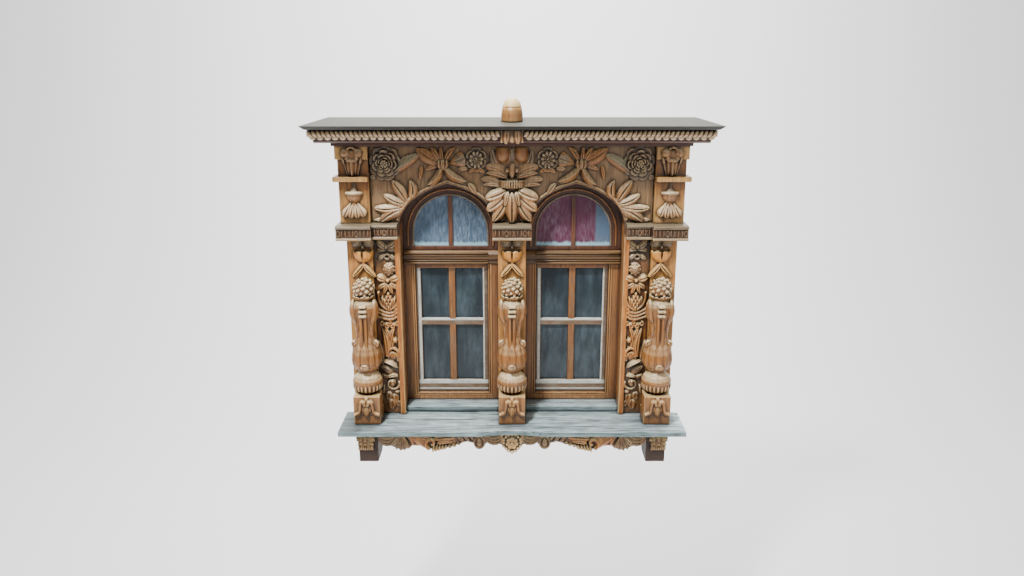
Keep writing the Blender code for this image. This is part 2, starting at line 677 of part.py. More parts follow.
def corner_spray(side):
    """Leaves that fan out from a stem along the arch's shoulder."""
    stem_foot, stem_top = Vector((-0.028, 0.118)), Vector((-0.104, 0.220))
    fan = [((0.152, -0.070), 0.064), ((0.178, 0.012), 0.070), ((0.080, 0.086), 0.070),
           ((-0.008, 0.142), 0.062), ((-0.006, 0.100), 0.042)]
    bm = bmesh.new()
    shoulder = Vector((OPENING_HALF, ARCH_SPRING))
    add_leaf(bm, shoulder + stem_foot, shoulder + stem_top, 0.046, BOARD_OUT, 0.024, bow=0.012)
    for i, (reach, width) in enumerate(fan):
        share = 0.12 + 0.74 * i / (len(fan) - 1)
        root = shoulder + stem_foot.lerp(stem_top, share)
        add_leaf(bm, root, root + Vector(reach), width, BOARD_OUT, 0.024, lift=0.008)
    fuse(named("corner_spray", side), bm, OAK_PALE, BOARD_OUT + CLEAR, side)


def lily(side):
    """Star of pointed petals round a bell, with a small leaf beside it."""
    middle, level = LIGHT_MIDDLE + 0.027, HEAD_TOP - 0.127
    petals = [((0.166, 0.105), 0.060), ((0.074, 0.116), 0.034), ((0.012, 0.120), 0.030),
              ((-0.127, 0.110), 0.040), ((-0.150, -0.058), 0.056), ((-0.130, -0.106), 0.032),
              ((0.085, -0.110), 0.058), ((0.150, -0.060), 0.036)]
    bm = bmesh.new()
    for (x, z), width in petals:
        add_leaf(bm, (x * 0.12, level + z * 0.12), (x, level + z), width, BOARD_OUT, 0.024, lift=0.008)
    add_knob(bm, (0, level), BOARD_OUT + 0.004, (0.030, 0.044, 0.030))
    fuse(named("lily", side), bm, OAK_PALE, BOARD_OUT + CLEAR, side, middle)


def small_rose(side):
    level = HEAD_TOP - 0.092
    bm = bmesh.new()
    add_bloom(bm, (0, level), BOARD_OUT, 0.060, 5, 0.024, 0.040, tall=1.25, first=pi / 2)
    fuse(named("small_rose", side), bm, OAK_PALE, BOARD_OUT + CLEAR, side, MULLION_HALF + 0.141)


def cartouche():
    """Middle carving: a flower, two tiers of wing leaves, a ribbed collar and a palmette."""
    level = HEAD_TOP - 0.247
    pairs = [((0.012, 0.140), (0.086, 0.240), 0.100, 0.00), ((0.020, 0.060), (0.170, 0.110), 0.078, 0.02),
             ((0.040, -0.008), (0.208, 0.030), 0.062, 0.02),
             ((0.030, -0.022), (0.170, -0.120), 0.064, 0.03), ((0.024, -0.047), (0.148, -0.186), 0.058, 0.04),
             ((0.016, -0.072), (0.106, -0.238), 0.056, 0.04)]
    bm = bmesh.new()
    add_leaf(bm, (0, 0.234 + level), (0, level - 0.210), 0.120, BOARD_OUT, 0.044)
    for side in (-1, 1):
        for root, tip, width, lift in pairs:
            add_leaf(bm, (side * root[0], level + root[1]), (side * tip[0], level + tip[1]), width,
                     BOARD_OUT, 0.034, lift=lift)
    add_leaf(bm, (0, level + 0.164), (0, level + 0.243), 0.056, BOARD_OUT, 0.052)
    add_knob(bm, (0, level + 0.094), BOARD_OUT + 0.02, (0.042, 0.056, 0.044))
    add_knob(bm, (0, level), BOARD_OUT, (0.080, 0.100, 0.042), sides=8)
    add_leaf(bm, (0, level - 0.036), (0, level - 0.240), 0.076, BOARD_OUT + 0.03, 0.044, lift=0.040)
    fuse("cartouche", bm, OAK, BOARD_OUT + CLEAR)


# Cornice, valance, keystone, roof and finial

def cornice_board():
    step = SOFFIT_BASE + SOFFIT_THICK
    nose = 0.012
    bm = bmesh.new()
    add_box(bm, (-BED_HALF, BED_HALF), (-0.01, BED_OUT), (HEAD_TOP, SOFFIT_BASE + nose))
    profile = [(-0.01, SOFFIT_BASE), (SOFFIT_OUT - nose, SOFFIT_BASE), (SOFFIT_OUT, SOFFIT_BASE + nose),
               (SOFFIT_OUT, step), (CORNICE_OUT, step), (CORNICE_OUT, CORNICE_TOP), (-0.01, CORNICE_TOP)]
    add_moulding(bm, profile, (-CORNICE_HALF, CORNICE_HALF))
    fuse("cornice_board", bm, OAK_DARK, 0)


def valance(side):
    """Scalloped board with a roll of beads, lofted ring by ring: one ring in two is a bead."""
    inner, outer = KEYSTONE_HALF + CLEAR, VALANCE_HALF
    back = CORNICE_OUT + CLEAR
    tip = CORNICE_TOP - VALANCE_HEIGHT
    lip = tip + SCALLOP_HEIGHT
    count = round((outer - inner) / BEAD_PITCH)
    rings = []
    bm = bmesh.new()
    for i in range(2 * count + 1):
        bead = i % 2 == 1
        x = side * (inner + (outer - inner) * i / (2 * count))
        reach = back + VALANCE_THICK + (BEAD_RADIUS if bead else BEAD_RADIUS * 0.3)
        edge = tip if bead else lip
        corners = [(back, CORNICE_TOP), (reach, CORNICE_TOP - 0.008), (reach, lip + 0.008), (back, edge)]
        rings.append([bm.verts.new((x, -out, z)) for out, z in corners])
    for one, two in zip(rings, rings[1:]):
        for i in range(4):
            bm.faces.new((one[i], one[(i + 1) % 4], two[(i + 1) % 4], two[i]))
    bm.faces.new(rings[0])
    bm.faces.new(rings[-1])
    place(named("valance", side), bm, OAK_PALE)


def keystone():
    """Small tablet over the middle: two long tongues and a short one between them."""
    half = KEYSTONE_HALF
    back = CORNICE_OUT + CLEAR
    panel = back + KEYSTONE_THICK * 0.6
    tip = CORNICE_TOP - KEYSTONE_HEIGHT
    shoulder = tip + KEYSTONE_HEIGHT / 3
    outline = [(-half, CORNICE_TOP), (-half, shoulder), (-half / 2, tip), (0, shoulder - 0.010),
               (half / 2, tip), (half, shoulder), (half, CORNICE_TOP)]
    bm = bmesh.new()
    add_panel(bm, outline, (back, panel))
    for side in (-1, 1):
        x = side * half * 0.5
        add_leaf(bm, (x, CORNICE_TOP - 0.002), (x, tip - 0.004), half * 0.8, panel - 0.004,
                 KEYSTONE_THICK * 0.5)
    add_leaf(bm, (0, CORNICE_TOP - KEYSTONE_HEIGHT * 0.2), (0, tip + 0.004), half * 0.5, panel - 0.002,
             KEYSTONE_THICK * 0.5)
    fuse("keystone", bm, OAK_PALE, back + 0.001)


def roof_shape(lift=0.0):
    """A low slab that falls to the front, with splayed ends and an undercut edge."""
    bm = bmesh.new()
    bmesh.ops.create_cube(bm, size=2)
    for vert in bm.verts:
        front, upper = vert.co.y < 0, vert.co.z > 0
        cut = 0 if upper else ROOF_UNDERCUT
        half = (ROOF_HALF_FRONT if front else ROOF_HALF_BACK) - cut
        rise = 0 if front else ROOF_FALL
        vert.co.x = half if vert.co.x > 0 else -half
        vert.co.y = cut - ROOF_OUT if front else 0
        vert.co.z = ROOF_EAVES + rise + lift if upper else ROOF_EAVES - ROOF_THICK
    return bm


def finial():
    """Turned bullet on the roof, its foot cut to the roof's fall."""
    line = FINIAL_HEIGHT * 0.60
    profile = [(0.0, FINIAL_HEIGHT), (FINIAL_RADIUS * 0.54, FINIAL_HEIGHT * 0.9),
               (FINIAL_RADIUS * 0.77, line + 0.004), (FINIAL_RADIUS * 0.71, line),
               (FINIAL_RADIUS * 0.80, line - 0.004), (FINIAL_RADIUS, 0.0), (FINIAL_RADIUS, -0.02),
               (0.0, -0.02)]
    piece = turned("finial", profile, 10, OAK_PALE)
    share = 1 - FINIAL_OUT / ROOF_OUT
    piece.location = (0, -FINIAL_OUT, ROOF_EAVES + ROOF_FALL * share)
    boolean(piece, place("finial_seat", roof_shape(CLEAR), None), "DIFFERENCE")


# Window box, sashes and fanlights

def jamb(side):
    """Lining of the reveal with the window's outer post worked on it."""
    foot = STEP_THICK + CLEAR
    bm = bmesh.new()
    add_box(bm, (OPENING_HALF, OPENING_HALF + LINING_THICK), (-CLEAR, -FRAME_BACK - 0.01), (foot, BOX_TOP))
    add_box(bm, (OPENING_HALF - JAMB_FACE, OPENING_HALF + 0.01), (-REVEAL_DEPTH, -FRAME_BACK - 0.01),
            (foot, TRANSOM_BASE - CLEAR))
    fuse(named("jamb", side), bm, FRAME_PAINT, -FRAME_BACK, side)


def mullion():
    """Post between the sashes: a broad back and a stem that fills the reveal."""
    plan = [(-MULLION_HALF, -CLEAR), (MULLION_HALF, -CLEAR), (MULLION_HALF, -REVEAL_DEPTH),
            (MULLION_FACE_HALF, -REVEAL_DEPTH), (MULLION_FACE_HALF, -FRAME_BACK),
            (-MULLION_FACE_HALF, -FRAME_BACK), (-MULLION_FACE_HALF, -REVEAL_DEPTH),
            (-MULLION_HALF, -REVEAL_DEPTH)]
    foot, top = STEP_THICK + CLEAR, TRANSOM_BASE - CLEAR
    bm = bmesh.new()
    add_run(bm, [(x, -out, foot) for x, out in plan], (0, 0, top - foot))
    place("mullion", bm, FRAME_PAINT)


def light_span(side):
    """The x of one light between the mullion's face and the jamb's."""
    return span(side, MULLION_FACE_HALF + CLEAR, OPENING_HALF - JAMB_FACE - CLEAR)


def frame_rail(side):
    box(named("frame_rail", side), light_span(side), (-REVEAL_DEPTH, -FRAME_BACK),
        (STEP_THICK + CLEAR, STEP_THICK + FRAME_FOOT), FRAME_PAINT)


def transom():
    """One moulded bar across both lights, under the fan frame."""
    reach = OPENING_HALF - CLEAR
    out = TRANSOM_OUT - REVEAL_DEPTH
    top = TRANSOM_TOP - CLEAR
    profile = [(-FRAME_BACK, TRANSOM_BASE), (out - 0.015, TRANSOM_BASE), (out - 0.015, TRANSOM_BASE + 0.022),
               (out, TRANSOM_BASE + 0.034), (out, TRANSOM_BASE + 0.070), (out - 0.020, top),
               (-FRAME_BACK, top)]
    bm = bmesh.new()
    add_moulding(bm, profile, (-reach, reach))
    transom_piece = place("transom", bm, FRAME_PAINT)
    stem = MULLION_HALF + CLEAR
    post = box("transom_notch", (-stem, stem), (0, -REVEAL_DEPTH), (STEP_THICK, IMPOST_BASE), None)
    boolean(transom_piece, post, "DIFFERENCE")


def fan_outline(side, foot, half):
    crown = TRANSOM_TOP + FAN_FOOT_RAIL + FAN_LEG
    middle = side * LIGHT_MIDDLE
    points = [(middle - half, foot)]
    for i in range(FAN_STEPS + 1):
        turn = pi - pi * i / FAN_STEPS
        points.append((middle + half * cos(turn), crown + half * sin(turn)))
    return points + [(middle + half, foot)]


def fan_frame():
    """Deep head block: keel-arched reveals in front, round-headed lights behind."""
    reach = OPENING_HALF - CLEAR
    foot = TRANSOM_TOP + FAN_FOOT_RAIL
    bar_face = -REVEAL_DEPTH - FAN_BAR_SETBACK
    block = box("fan_frame", (-reach, reach), (-CLEAR, -FRAME_BACK), (TRANSOM_TOP, BOX_TOP), FRAME_PAINT)
    for side in (-1, 1):
        boolean(block, arch_cutter(named("fan_reveal", side), side, (0.1, -REVEAL_DEPTH)), "DIFFERENCE")
        bm = bmesh.new()
        add_panel(bm, fan_outline(side, foot, FAN_HALF), (0.2, -FRAME_BACK - 0.1))
        boolean(block, place(named("fan_light", side), bm, None), "DIFFERENCE")
        middle = side * LIGHT_MIDDLE
        x, lap = (middle - FAN_BAR / 2, middle + FAN_BAR / 2), FAN_BAR / 4
        bar = box(named("fan_bar", side), x, (bar_face, bar_face - FAN_BAR_THICK),
                  (foot - lap, foot + FAN_LEG + FAN_HALF + lap), None)
        boolean(block, bar, "UNION")


def fan_glass(side):
    front = -REVEAL_DEPTH - FAN_BAR_SETBACK - FAN_BAR_THICK - CLEAR
    foot = TRANSOM_TOP + FAN_FOOT_RAIL + CLEAR
    bm = bmesh.new()
    add_panel(bm, fan_outline(side, foot, FAN_HALF - 2 * CLEAR), (front, front - GLASS_THICK))
    place(named("fan_glass", side), bm, FAN_PANE_COOL if side < 0 else FAN_PANE_WARM)


def sash(side):
    """Four-light sash: stiles, rails and bars framed up as one."""
    x0, x1 = light_span(side)
    z0, z1 = SASH_HEIGHTS
    front = -REVEAL_DEPTH - SASH_SETBACK
    frame = box(named("sash", side), (x0, x1), (front, front - SASH_THICK), (z0, z1), GREY_PAINT)
    middle = (x0 + x1) / 2
    sill, head = z0 + SASH_FOOT_RAIL, z1 - SASH_STILE
    rail = sill + (head - sill) * SASH_RAIL_SHARE
    columns = [(x0 + SASH_STILE, middle - SASH_MUNTIN / 2), (middle + SASH_MUNTIN / 2, x1 - SASH_STILE)]
    rows = [(sill, rail - SASH_RAIL / 2), (rail + SASH_RAIL / 2, head)]
    bm = bmesh.new()
    for across in columns:
        for up in rows:
            add_box(bm, across, (0, -FRAME_BACK), up)
    boolean(frame, place(named("sash_panes", side), bm, None), "DIFFERENCE")


def sash_glass(side):
    x0, x1 = light_span(side)
    z0, z1 = SASH_HEIGHTS
    front = -REVEAL_DEPTH - SASH_SETBACK - SASH_THICK - CLEAR
    box(named("sash_glass", side), (x0 + GLASS_INSET, x1 - GLASS_INSET), (front, front - GLASS_THICK),
        (z0 + GLASS_INSET, z1 - GLASS_INSET), PANE)


clear_scene()
PARTS = collection("carved_window_surround")
CUTTERS = collection("cutters")
SETTING_OUT = bpy.data.objects.new("setting_out", None)
PARTS.objects.link(SETTING_OUT)
SETTING_OUT.location = (0, 0, -HOLD_LEVEL)

sill_board()
step_board()
apron()
for end in (-1, 1):
    bracket(end)
    corner_block(end)
    carved_strip(end)
    impost(end)
    upper_post(end)
    tulip_drop(end)
    bell_drop(end)
    peony(end)
    corner_spray(end)
    lily(end)
    small_rose(end)
    valance(end)
    jamb(end)
    frame_rail(end)
    fan_glass(end)
    sash(end)
    sash_glass(end)
    pilaster(named("pilaster", end), span(end, PILASTER_INNER, PILASTER_OUTER))
pilaster("pilaster_centre", (-MULLION_HALF, MULLION_HALF))
for word, place_x in (("left", -COLUMN_MIDDLE), ("centre", 0.0), ("right", COLUMN_MIDDLE)):
    plinth("plinth_" + word, place_x)
    column("column_" + word, place_x)
    capital("capital_" + word, place_x)
impost_centre()
spandrel_board()
cartouche()
cornice_board()
keystone()
place("roof_board", roof_shape(), ROOF)
finial()
mullion()
transom()
fan_frame()
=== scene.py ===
from math import acos, atan2, cos, exp, hypot, log, pi, radians, sin, sqrt

import bmesh
import bpy
from mathutils import Matrix, Vector, noise


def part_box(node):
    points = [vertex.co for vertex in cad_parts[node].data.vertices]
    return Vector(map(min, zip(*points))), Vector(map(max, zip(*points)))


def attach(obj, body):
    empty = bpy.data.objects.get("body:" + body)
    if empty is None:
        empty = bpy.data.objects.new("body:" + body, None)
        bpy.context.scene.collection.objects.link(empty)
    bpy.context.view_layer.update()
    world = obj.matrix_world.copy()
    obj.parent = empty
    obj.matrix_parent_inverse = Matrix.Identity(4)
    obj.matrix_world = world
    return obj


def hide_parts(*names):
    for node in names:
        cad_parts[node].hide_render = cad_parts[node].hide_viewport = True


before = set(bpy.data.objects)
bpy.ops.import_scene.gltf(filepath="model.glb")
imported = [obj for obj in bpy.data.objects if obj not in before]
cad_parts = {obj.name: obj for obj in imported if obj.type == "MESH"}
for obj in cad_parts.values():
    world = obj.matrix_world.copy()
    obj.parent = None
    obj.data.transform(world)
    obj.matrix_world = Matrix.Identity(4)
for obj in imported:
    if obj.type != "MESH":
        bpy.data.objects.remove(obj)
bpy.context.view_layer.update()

# Window box: jambs, mullion, bottom rails, transom and the arched head.
# Planed softwood with a brown oil finish, framed together and let into the wall.
# Boards keep the frame's own solids with their arrises rubbed round.
SILL_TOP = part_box("sill_board")[1].z


def linear(code):
    """An sRGB hex colour as the linear one that a shader wants."""
    channels = [int(code[i:i + 2], 16) / 255 for i in (0, 2, 4)]
    return [c / 12.92 if c <= 0.04045 else ((c + 0.055) / 1.055) ** 2.4 for c in channels] + [1.0]


def add_node(tree, kind, sockets=None, **settings):
    """A node with its settings, and each socket given a value or linked to another socket."""
    made = tree.nodes.new("ShaderNode" + kind)
    for key, value in settings.items():
        setattr(made, key, value)
    for socket, value in (sockets or {}).items():
        if isinstance(value, bpy.types.NodeSocket):
            tree.links.new(value, made.inputs[socket])
        else:
            made.inputs[socket].default_value = value
    return made


def weathered_wood(name, hollow, body, warm, silver, pale_wear_and_highlight, grain="Z", run=0.012, silvered=0.4,
                   wear_and_highlight_amount=0.8, roughness=0.38, depth=0.0012, length=14, cracks=0.40):
    """Old carved or planed timber: streaks along the grain, silvering in patches, pale wear with painted
    highlight on edges and upper faces, brown grime with painted shade on grounds beside carving and
    black painted shade in the hollows.
    run is the width of a streak in metres, drawn coarse enough to show from 5 m, length
    how many times longer it is, and a higher cracks lets more of the dark fibres show."""
    made = bpy.data.materials.new(name)
    made.use_nodes = True
    tree = made.node_tree
    shader = tree.nodes["Principled BSDF"]
    place = add_node(tree, "TexCoord").outputs["Object"]
    along = Vector((1, 1, 1))
    along["XYZ".index(grain)] = 1 / length
    fibres = add_node(tree, "Mapping", {"Vector": place, "Scale": along}).outputs[0]
    streak = add_node(tree, "TexNoise", {"Vector": fibres, "Scale": 1 / run, "Detail": 6.0,
                                         "Roughness": 0.62}).outputs["Fac"]
    fine = add_node(tree, "TexNoise", {"Vector": fibres, "Scale": 4 / run, "Detail": 4.0}).outputs["Fac"]
    patch = add_node(tree, "TexNoise", {"Vector": place, "Scale": 1 / 0.11, "Detail": 5.0,
                                        "Roughness": 0.6}).outputs["Fac"]
    surface = add_node(tree, "NewGeometry")
    up = add_node(tree, "SeparateXYZ", {0: surface.outputs["Normal"]}).outputs["Z"]

    def ranged(value, low, high, first=0.0, last=1.0):
        return add_node(tree, "MapRange", {"Value": value, "From Min": low, "From Max": high,
                                           "To Min": first, "To Max": last}).outputs[0]

    def blend(share, below, above):
        sockets = {0: share, 6: linear(below) if isinstance(below, str) else below,
                   7: linear(above) if isinstance(above, str) else above}
        return add_node(tree, "Mix", sockets, data_type="RGBA").outputs[2]

    def combined(one, two, operation, clamped=False):
        return add_node(tree, "Math", {0: one, 1: two}, operation=operation, use_clamp=clamped).outputs[0]

    # Painted highlight together with pale wear: convex edges and upward faces are lightened towards the
    # pale colour.
    wear_and_highlight = combined(ranged(surface.outputs["Pointiness"], 0.514, 0.585), ranged(up, 0.15, 0.90), "ADD")
    wear_and_highlight = combined(wear_and_highlight, ranged(streak, 0.3, 0.62, 0.40), "MULTIPLY")
    wear_and_highlight = combined(wear_and_highlight, wear_and_highlight_amount, "MULTIPLY", True)
    wood = blend(ranged(streak, 0.36, 0.64), body, warm)
    wood = blend(ranged(patch, 0.46, 0.62, 0.0, silvered), wood, silver)
    # Painted shade together with grime: a broad ambient-occlusion darkening towards the hollow colour.
    grime_and_shade_ao = add_node(tree, "AmbientOcclusion", {"Distance": 0.12}, samples=4).outputs["AO"]
    wood = blend(ranged(grime_and_shade_ao, 0.35, 0.95, 0.22), hollow, wood)
    wood = blend(wear_and_highlight, wood, pale_wear_and_highlight)
    wood = blend(ranged(fine, cracks - 0.12, cracks, 0.25), hollow, wood)
    # Painted shade: a close ambient-occlusion darkening to the hollow colour in creases and recesses.
    close = add_node(tree, "AmbientOcclusion", {"Distance": 0.022}, samples=6).outputs["AO"]
    wood = blend(ranged(close, 0.38, 0.94, 0.04), hollow, wood)
    tree.links.new(wood, shader.inputs["Base Color"])
    tree.links.new(ranged(streak, 0.0, 1.0, roughness - 0.1, roughness + 0.14), shader.inputs["Roughness"])
    relief = combined(streak, fine, "ADD")
    bump = add_node(tree, "Bump", {"Height": relief, "Strength": 0.6, "Distance": depth}).outputs[0]
    tree.links.new(bump, shader.inputs["Normal"])
    shader.inputs["Specular IOR Level"].default_value = 0.6
    return made


def show(name, bm, finish, slot, *nodes):
    """Make a finished bmesh a piece that rides on the root and stands for CAD nodes."""
    mesh = bpy.data.meshes.new(name)
    for face in bm.faces:
        face.smooth = True
    bm.to_mesh(mesh)
    bm.free()
    piece = bpy.data.objects.new(name, mesh)
    bpy.context.scene.collection.objects.link(piece)
    mesh.materials.append(finish)
    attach(piece, "root")
    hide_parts(*nodes)
    return piece


def merged_copy(node):
    """A CAD node's solid as clean flat faces."""
    bm = bmesh.new()
    bm.from_mesh(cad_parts[node].data)
    bmesh.ops.remove_doubles(bm, verts=bm.verts, dist=0.00002)
    bmesh.ops.dissolve_limit(bm, angle_limit=radians(1), verts=bm.verts, edges=bm.edges)
    return bm


def ease_edges(bm, width, segments=2):
    """Rub the sharp arrises round."""
    sharp = [e for e in bm.edges if len(e.link_faces) == 2 and e.calc_face_angle() > radians(28)]
    bmesh.ops.bevel(bm, geom=sharp, offset=width, offset_type="OFFSET", affect="EDGES", segments=segments,
                    profile=0.5, material=-1, clamp_overlap=True)
    bmesh.ops.triangulate(bm, faces=[f for f in bm.faces if len(f.verts) > 4])


def tint(piece, finish, chosen):
    """Give the faces of a piece that chosen(x, up, normal) picks a second finish."""
    piece.data.materials.append(finish)
    place = len(piece.data.materials) - 1
    for face in piece.data.polygons:
        if chosen(face.center.x, face.center.z - SILL_TOP, face.normal):
            face.material_index = place


def board(name, node, width, finish, slot):
    """A planed board: its CAD node with the arrises eased by width and the faces kept flat."""
    bm = merged_copy(node)
    ease_edges(bm, width)
    piece = show(name, bm, finish, slot, node)
    flat = piece.modifiers.new("flat_faces", "WEIGHTED_NORMAL")
    flat.weight = 100
    return piece


# Oiled softwood: long brown streaks, a dull shine, edges rubbed tan with painted highlight.
frame_brown = weathered_wood("brown_oiled_softwood", "1C0D05", "7A4822", "A86C34", "745C42", "D4A066",
                             run=0.016, silvered=0.3, wear_and_highlight_amount=0.55, length=30)
# The same wood in the arches' shade, redder and darker.
head_brown = weathered_wood("shaded_red_brown_softwood", "140805", "4E2A18", "74442A", "4E3A2C", "A87046",
                            run=0.016, silvered=0.25, wear_and_highlight_amount=0.45)
for word in ("left", "right"):
    board("jamb_" + word + "_eased", "jamb_" + word, 0.003, frame_brown, "frame_paint")
    board("frame_rail_" + word + "_eased", "frame_rail_" + word, 0.003, frame_brown, "frame_paint")
board("mullion_eased", "mullion", 0.003, frame_brown, "frame_paint")
# The darkest rail of the frame, its grain lying level.
transom_brown = weathered_wood("brown_oiled_rail", "140904", "33200F", "563217", "3E3224", "96703F",
                               grain="X", run=0.016, silvered=0.3, wear_and_highlight_amount=0.6, length=30)
board("transom_eased", "transom", 0.003, transom_brown, "frame_paint")
board("fan_frame_eased", "fan_frame", 0.003, head_brown, "frame_paint")

# Frame mouldings round each sash: a quirked bead planed on the frame's inner
# edge, of the same oiled softwood, mitred at the corners and pinned.
BEAD_WIDE = 0.026


def add_box(bm, low, high):
    """A block between two corners."""
    size = Vector(high) - Vector(low)
    middle = (Vector(high) + Vector(low)) / 2
    bmesh.ops.create_cube(bm, size=1, matrix=Matrix.Translation(middle) @ Matrix.Diagonal((*size, 1)))


def frame_bead(word):
    """Two beads on three sides of a sash: a round one at the edge and a flat one outside it."""
    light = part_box("sash_" + word)
    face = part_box("mullion")[1].y - 0.060
    x0, x1, z0, z1 = light[0].x, light[1].x, light[0].z, light[1].z
    bm = bmesh.new()
    for inner, outer, proud in ((0.003, 0.010, 0.009), (0.014, BEAD_WIDE, 0.005)):
        for low, high in (((x0 - outer, z0 - inner), (x0 - inner, z1)),
                          ((x1 + inner, z0 - inner), (x1 + outer, z1)),
                          ((x0 - outer, z0 - outer), (x1 + outer, z0 - inner))):
            add_box(bm, (low[0], face - proud, low[1]), (high[0], face - 0.0003, high[1]))
    ease_edges(bm, 0.0025)
    show("frame_bead_" + word, bm, frame_brown, "frame_paint")


for word in ("left", "right"):
    frame_bead(word)

# Transom mouldings: softwood strips pinned along its face on both sides of the
# middle column: a ledge on top, two thin fillets and a fatter bead at the foot.
low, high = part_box("transom")
MIDDLE_EDGE = 0.1702
for side, word in ((-1, "left"), (1, "right")):
    bm = bmesh.new()
    x0, x1 = sorted((side * MIDDLE_EDGE, side * (high.x - 0.0005)))
    for up, tall, proud in ((0.074, 0.014, 0.014), (0.058, 0.008, 0.006), (0.022, 0.006, 0.005),
                            (0.002, 0.012, 0.010)):
        add_box(bm, (x0, low.y - proud, low.z + up), (x1, low.y - 0.0003, low.z + up + tall))
    ease_edges(bm, 0.0025)
    show("transom_moulding_" + word, bm, transom_brown, "frame_paint")

# Sashes: four-light casements. White paint is left on the stiles' inner edges and on the rails, where
# only their upper halves and upward faces take it: worn paint together with painted light from above,
# the rails' lower halves left darker as painted shade; the rest has worn down to brown wood.
# Chalky oil paint with grey dirt in its cracks.
sash_white = weathered_wood("worn_white_paint", "4A443A", "B9BCB4", "DADCD4", "8E8A7C", "F4F4EC",
                            grain="X", run=0.014, silvered=0.5, wear_and_highlight_amount=0.8, depth=0.0008)
# Where the paint has gone, dry grey-brown wood.
sash_grey = weathered_wood("grey_brown_worn_sash", "1A100A", "5A4430", "7E6248", "8A8070", "C8BCA4",
                           grain="X", run=0.010, silvered=0.45, wear_and_highlight_amount=0.7, depth=0.0008)
# The upright bars, bare and reddish.
bar_brown = weathered_wood("bare_brown_sash_bar", "1E1008", "6A4020", "966434", "72604C", "D0A26C",
                           run=0.008, silvered=0.35, wear_and_highlight_amount=0.6, depth=0.0008)


def cut_at(bm, axis, places):
    """Cut a board by planes across one axis."""
    normal = [0, 0, 0]
    normal[axis] = 1
    for place in places:
        point = [0, 0, 0]
        point[axis] = place
        bmesh.ops.bisect_plane(bm, geom=bm.verts[:] + bm.edges[:] + bm.faces[:], dist=1e-6,
                               plane_co=point, plane_no=normal)


def sash(word):
    """A sash cut along its rails and bars, so that paint, bare wood and head take their own finish."""
    low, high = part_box("sash_" + word)
    middle = (low.x + high.x) / 2
    foot, rail, head = low.z + 0.092, low.z + 0.5505, high.z - 0.039
    bm = merged_copy("sash_" + word)
    ease_edges(bm, 0.004, 3)
    cut_at(bm, 0, (low.x + 0.014, low.x + 0.032, middle - 0.0235, middle + 0.0235, high.x - 0.038,
                   high.x - 0.028))
    cut_at(bm, 2, (low.z + 0.018, low.z + 0.030, low.z + 0.052, low.z + 0.062, foot, rail, high.z - 0.038))
    piece = show("sash_" + word + "_eased", bm, sash_grey, "grey_paint", "sash_" + word)

    # White on the stiles' edges; on the rails only upper halves and upward faces: paint together with
    # painted light from above.
    def white_paint_and_top_light(x, up, normal):
        z = up + SILL_TOP
        if z < foot:
            return z > low.z + 0.062 or low.z + 0.018 < z < low.z + 0.030 or normal.z > 0.5
        if abs(z - rail) < 0.028:
            return z > rail or normal.z > 0.4
        if z > head:
            return False
        return low.x + 0.014 < x < low.x + 0.032 or high.x - 0.038 < x < high.x - 0.028

    tint(piece, sash_white, white_paint_and_top_light)
    tint(piece, bar_brown, lambda x, up, normal: abs(x - middle) < 0.0236
         and foot < up + SILL_TOP < head - 0.001 and abs(up + SILL_TOP - rail) > 0.026)
    tint(piece, frame_brown, lambda x, up, normal: up + SILL_TOP > head)
    flat = piece.modifiers.new("flat_faces", "WEIGHTED_NORMAL")
    flat.weight = 100


for word in ("left", "right"):
    sash(word)

# Glass: drawn sheet, slightly wavy, its colour the painted dark of an unlit room behind it. The
# fanlights show a painted reflection of a pale sky at the left and a maroon hanging at the right, with
# frosted sills.


def window_glass(name, deep, reflected_light_colour, width, beside=None, edge=0.0, foot=None):
    """Old glass painted with the dark of an unlit room behind it, and upright smears of this width whose
    pale colour is a painted reflection of light. Past x = edge the colour beside shows, and over foot the
    frost on the sill."""
    made = bpy.data.materials.new(name)
    made.use_nodes = True
    tree = made.node_tree
    shader = tree.nodes["Principled BSDF"]
    place = add_node(tree, "TexCoord").outputs["Object"]
    spot = add_node(tree, "SeparateXYZ", {0: place})

    def step(value, low, high):
        return add_node(tree, "MapRange", {"Value": value, "From Min": low, "From Max": high}).outputs[0]

    def mixed(share, below, above):
        return add_node(tree, "Mix", {0: share, 6: below, 7: linear(above)}, data_type="RGBA").outputs[2]

    folds = add_node(tree, "Mapping", {"Vector": place, "Scale": (1.0, 1.0, 0.25)}).outputs[0]
    streak = add_node(tree, "TexNoise", {"Vector": folds, "Scale": 1 / width, "Detail": 6.0,
                                         "Roughness": 0.65}).outputs["Fac"]
    cloud = add_node(tree, "TexNoise", {"Vector": place, "Scale": 1 / 0.25, "Detail": 2.0}).outputs["Fac"]
    seen = linear(deep)
    if beside:
        seen = mixed(step(spot.outputs["X"], edge - 0.004, edge + 0.004), seen, beside)
    # Painted reflection: where streak and cloud meet, the smears take the light colour.
    both = add_node(tree, "Math", {0: step(streak, 0.42, 0.70), 1: step(cloud, 0.30, 0.70)},
                    operation="MULTIPLY")
    seen = mixed(both.outputs[0], seen, reflected_light_colour)
    if foot:
        ragged = add_node(tree, "Math", {0: streak, 1: 0.05}, operation="MULTIPLY").outputs[0]
        height = add_node(tree, "Math", {0: spot.outputs["Z"], 1: ragged}, operation="SUBTRACT").outputs[0]
        seen = mixed(step(height, foot, foot - 0.016), seen, "9CC2CE")
    tree.links.new(seen, shader.inputs["Base Color"])
    wave = add_node(tree, "TexNoise", {"Vector": place, "Scale": 1 / 0.16, "Detail": 1.0}).outputs["Fac"]
    bump = add_node(tree, "Bump", {"Height": wave, "Strength": 0.12, "Distance": 0.004}).outputs[0]
    tree.links.new(bump, shader.inputs["Normal"])
    shader.inputs["Roughness"].default_value = 0.08
    shader.inputs["IOR"].default_value = 1.5
    return made


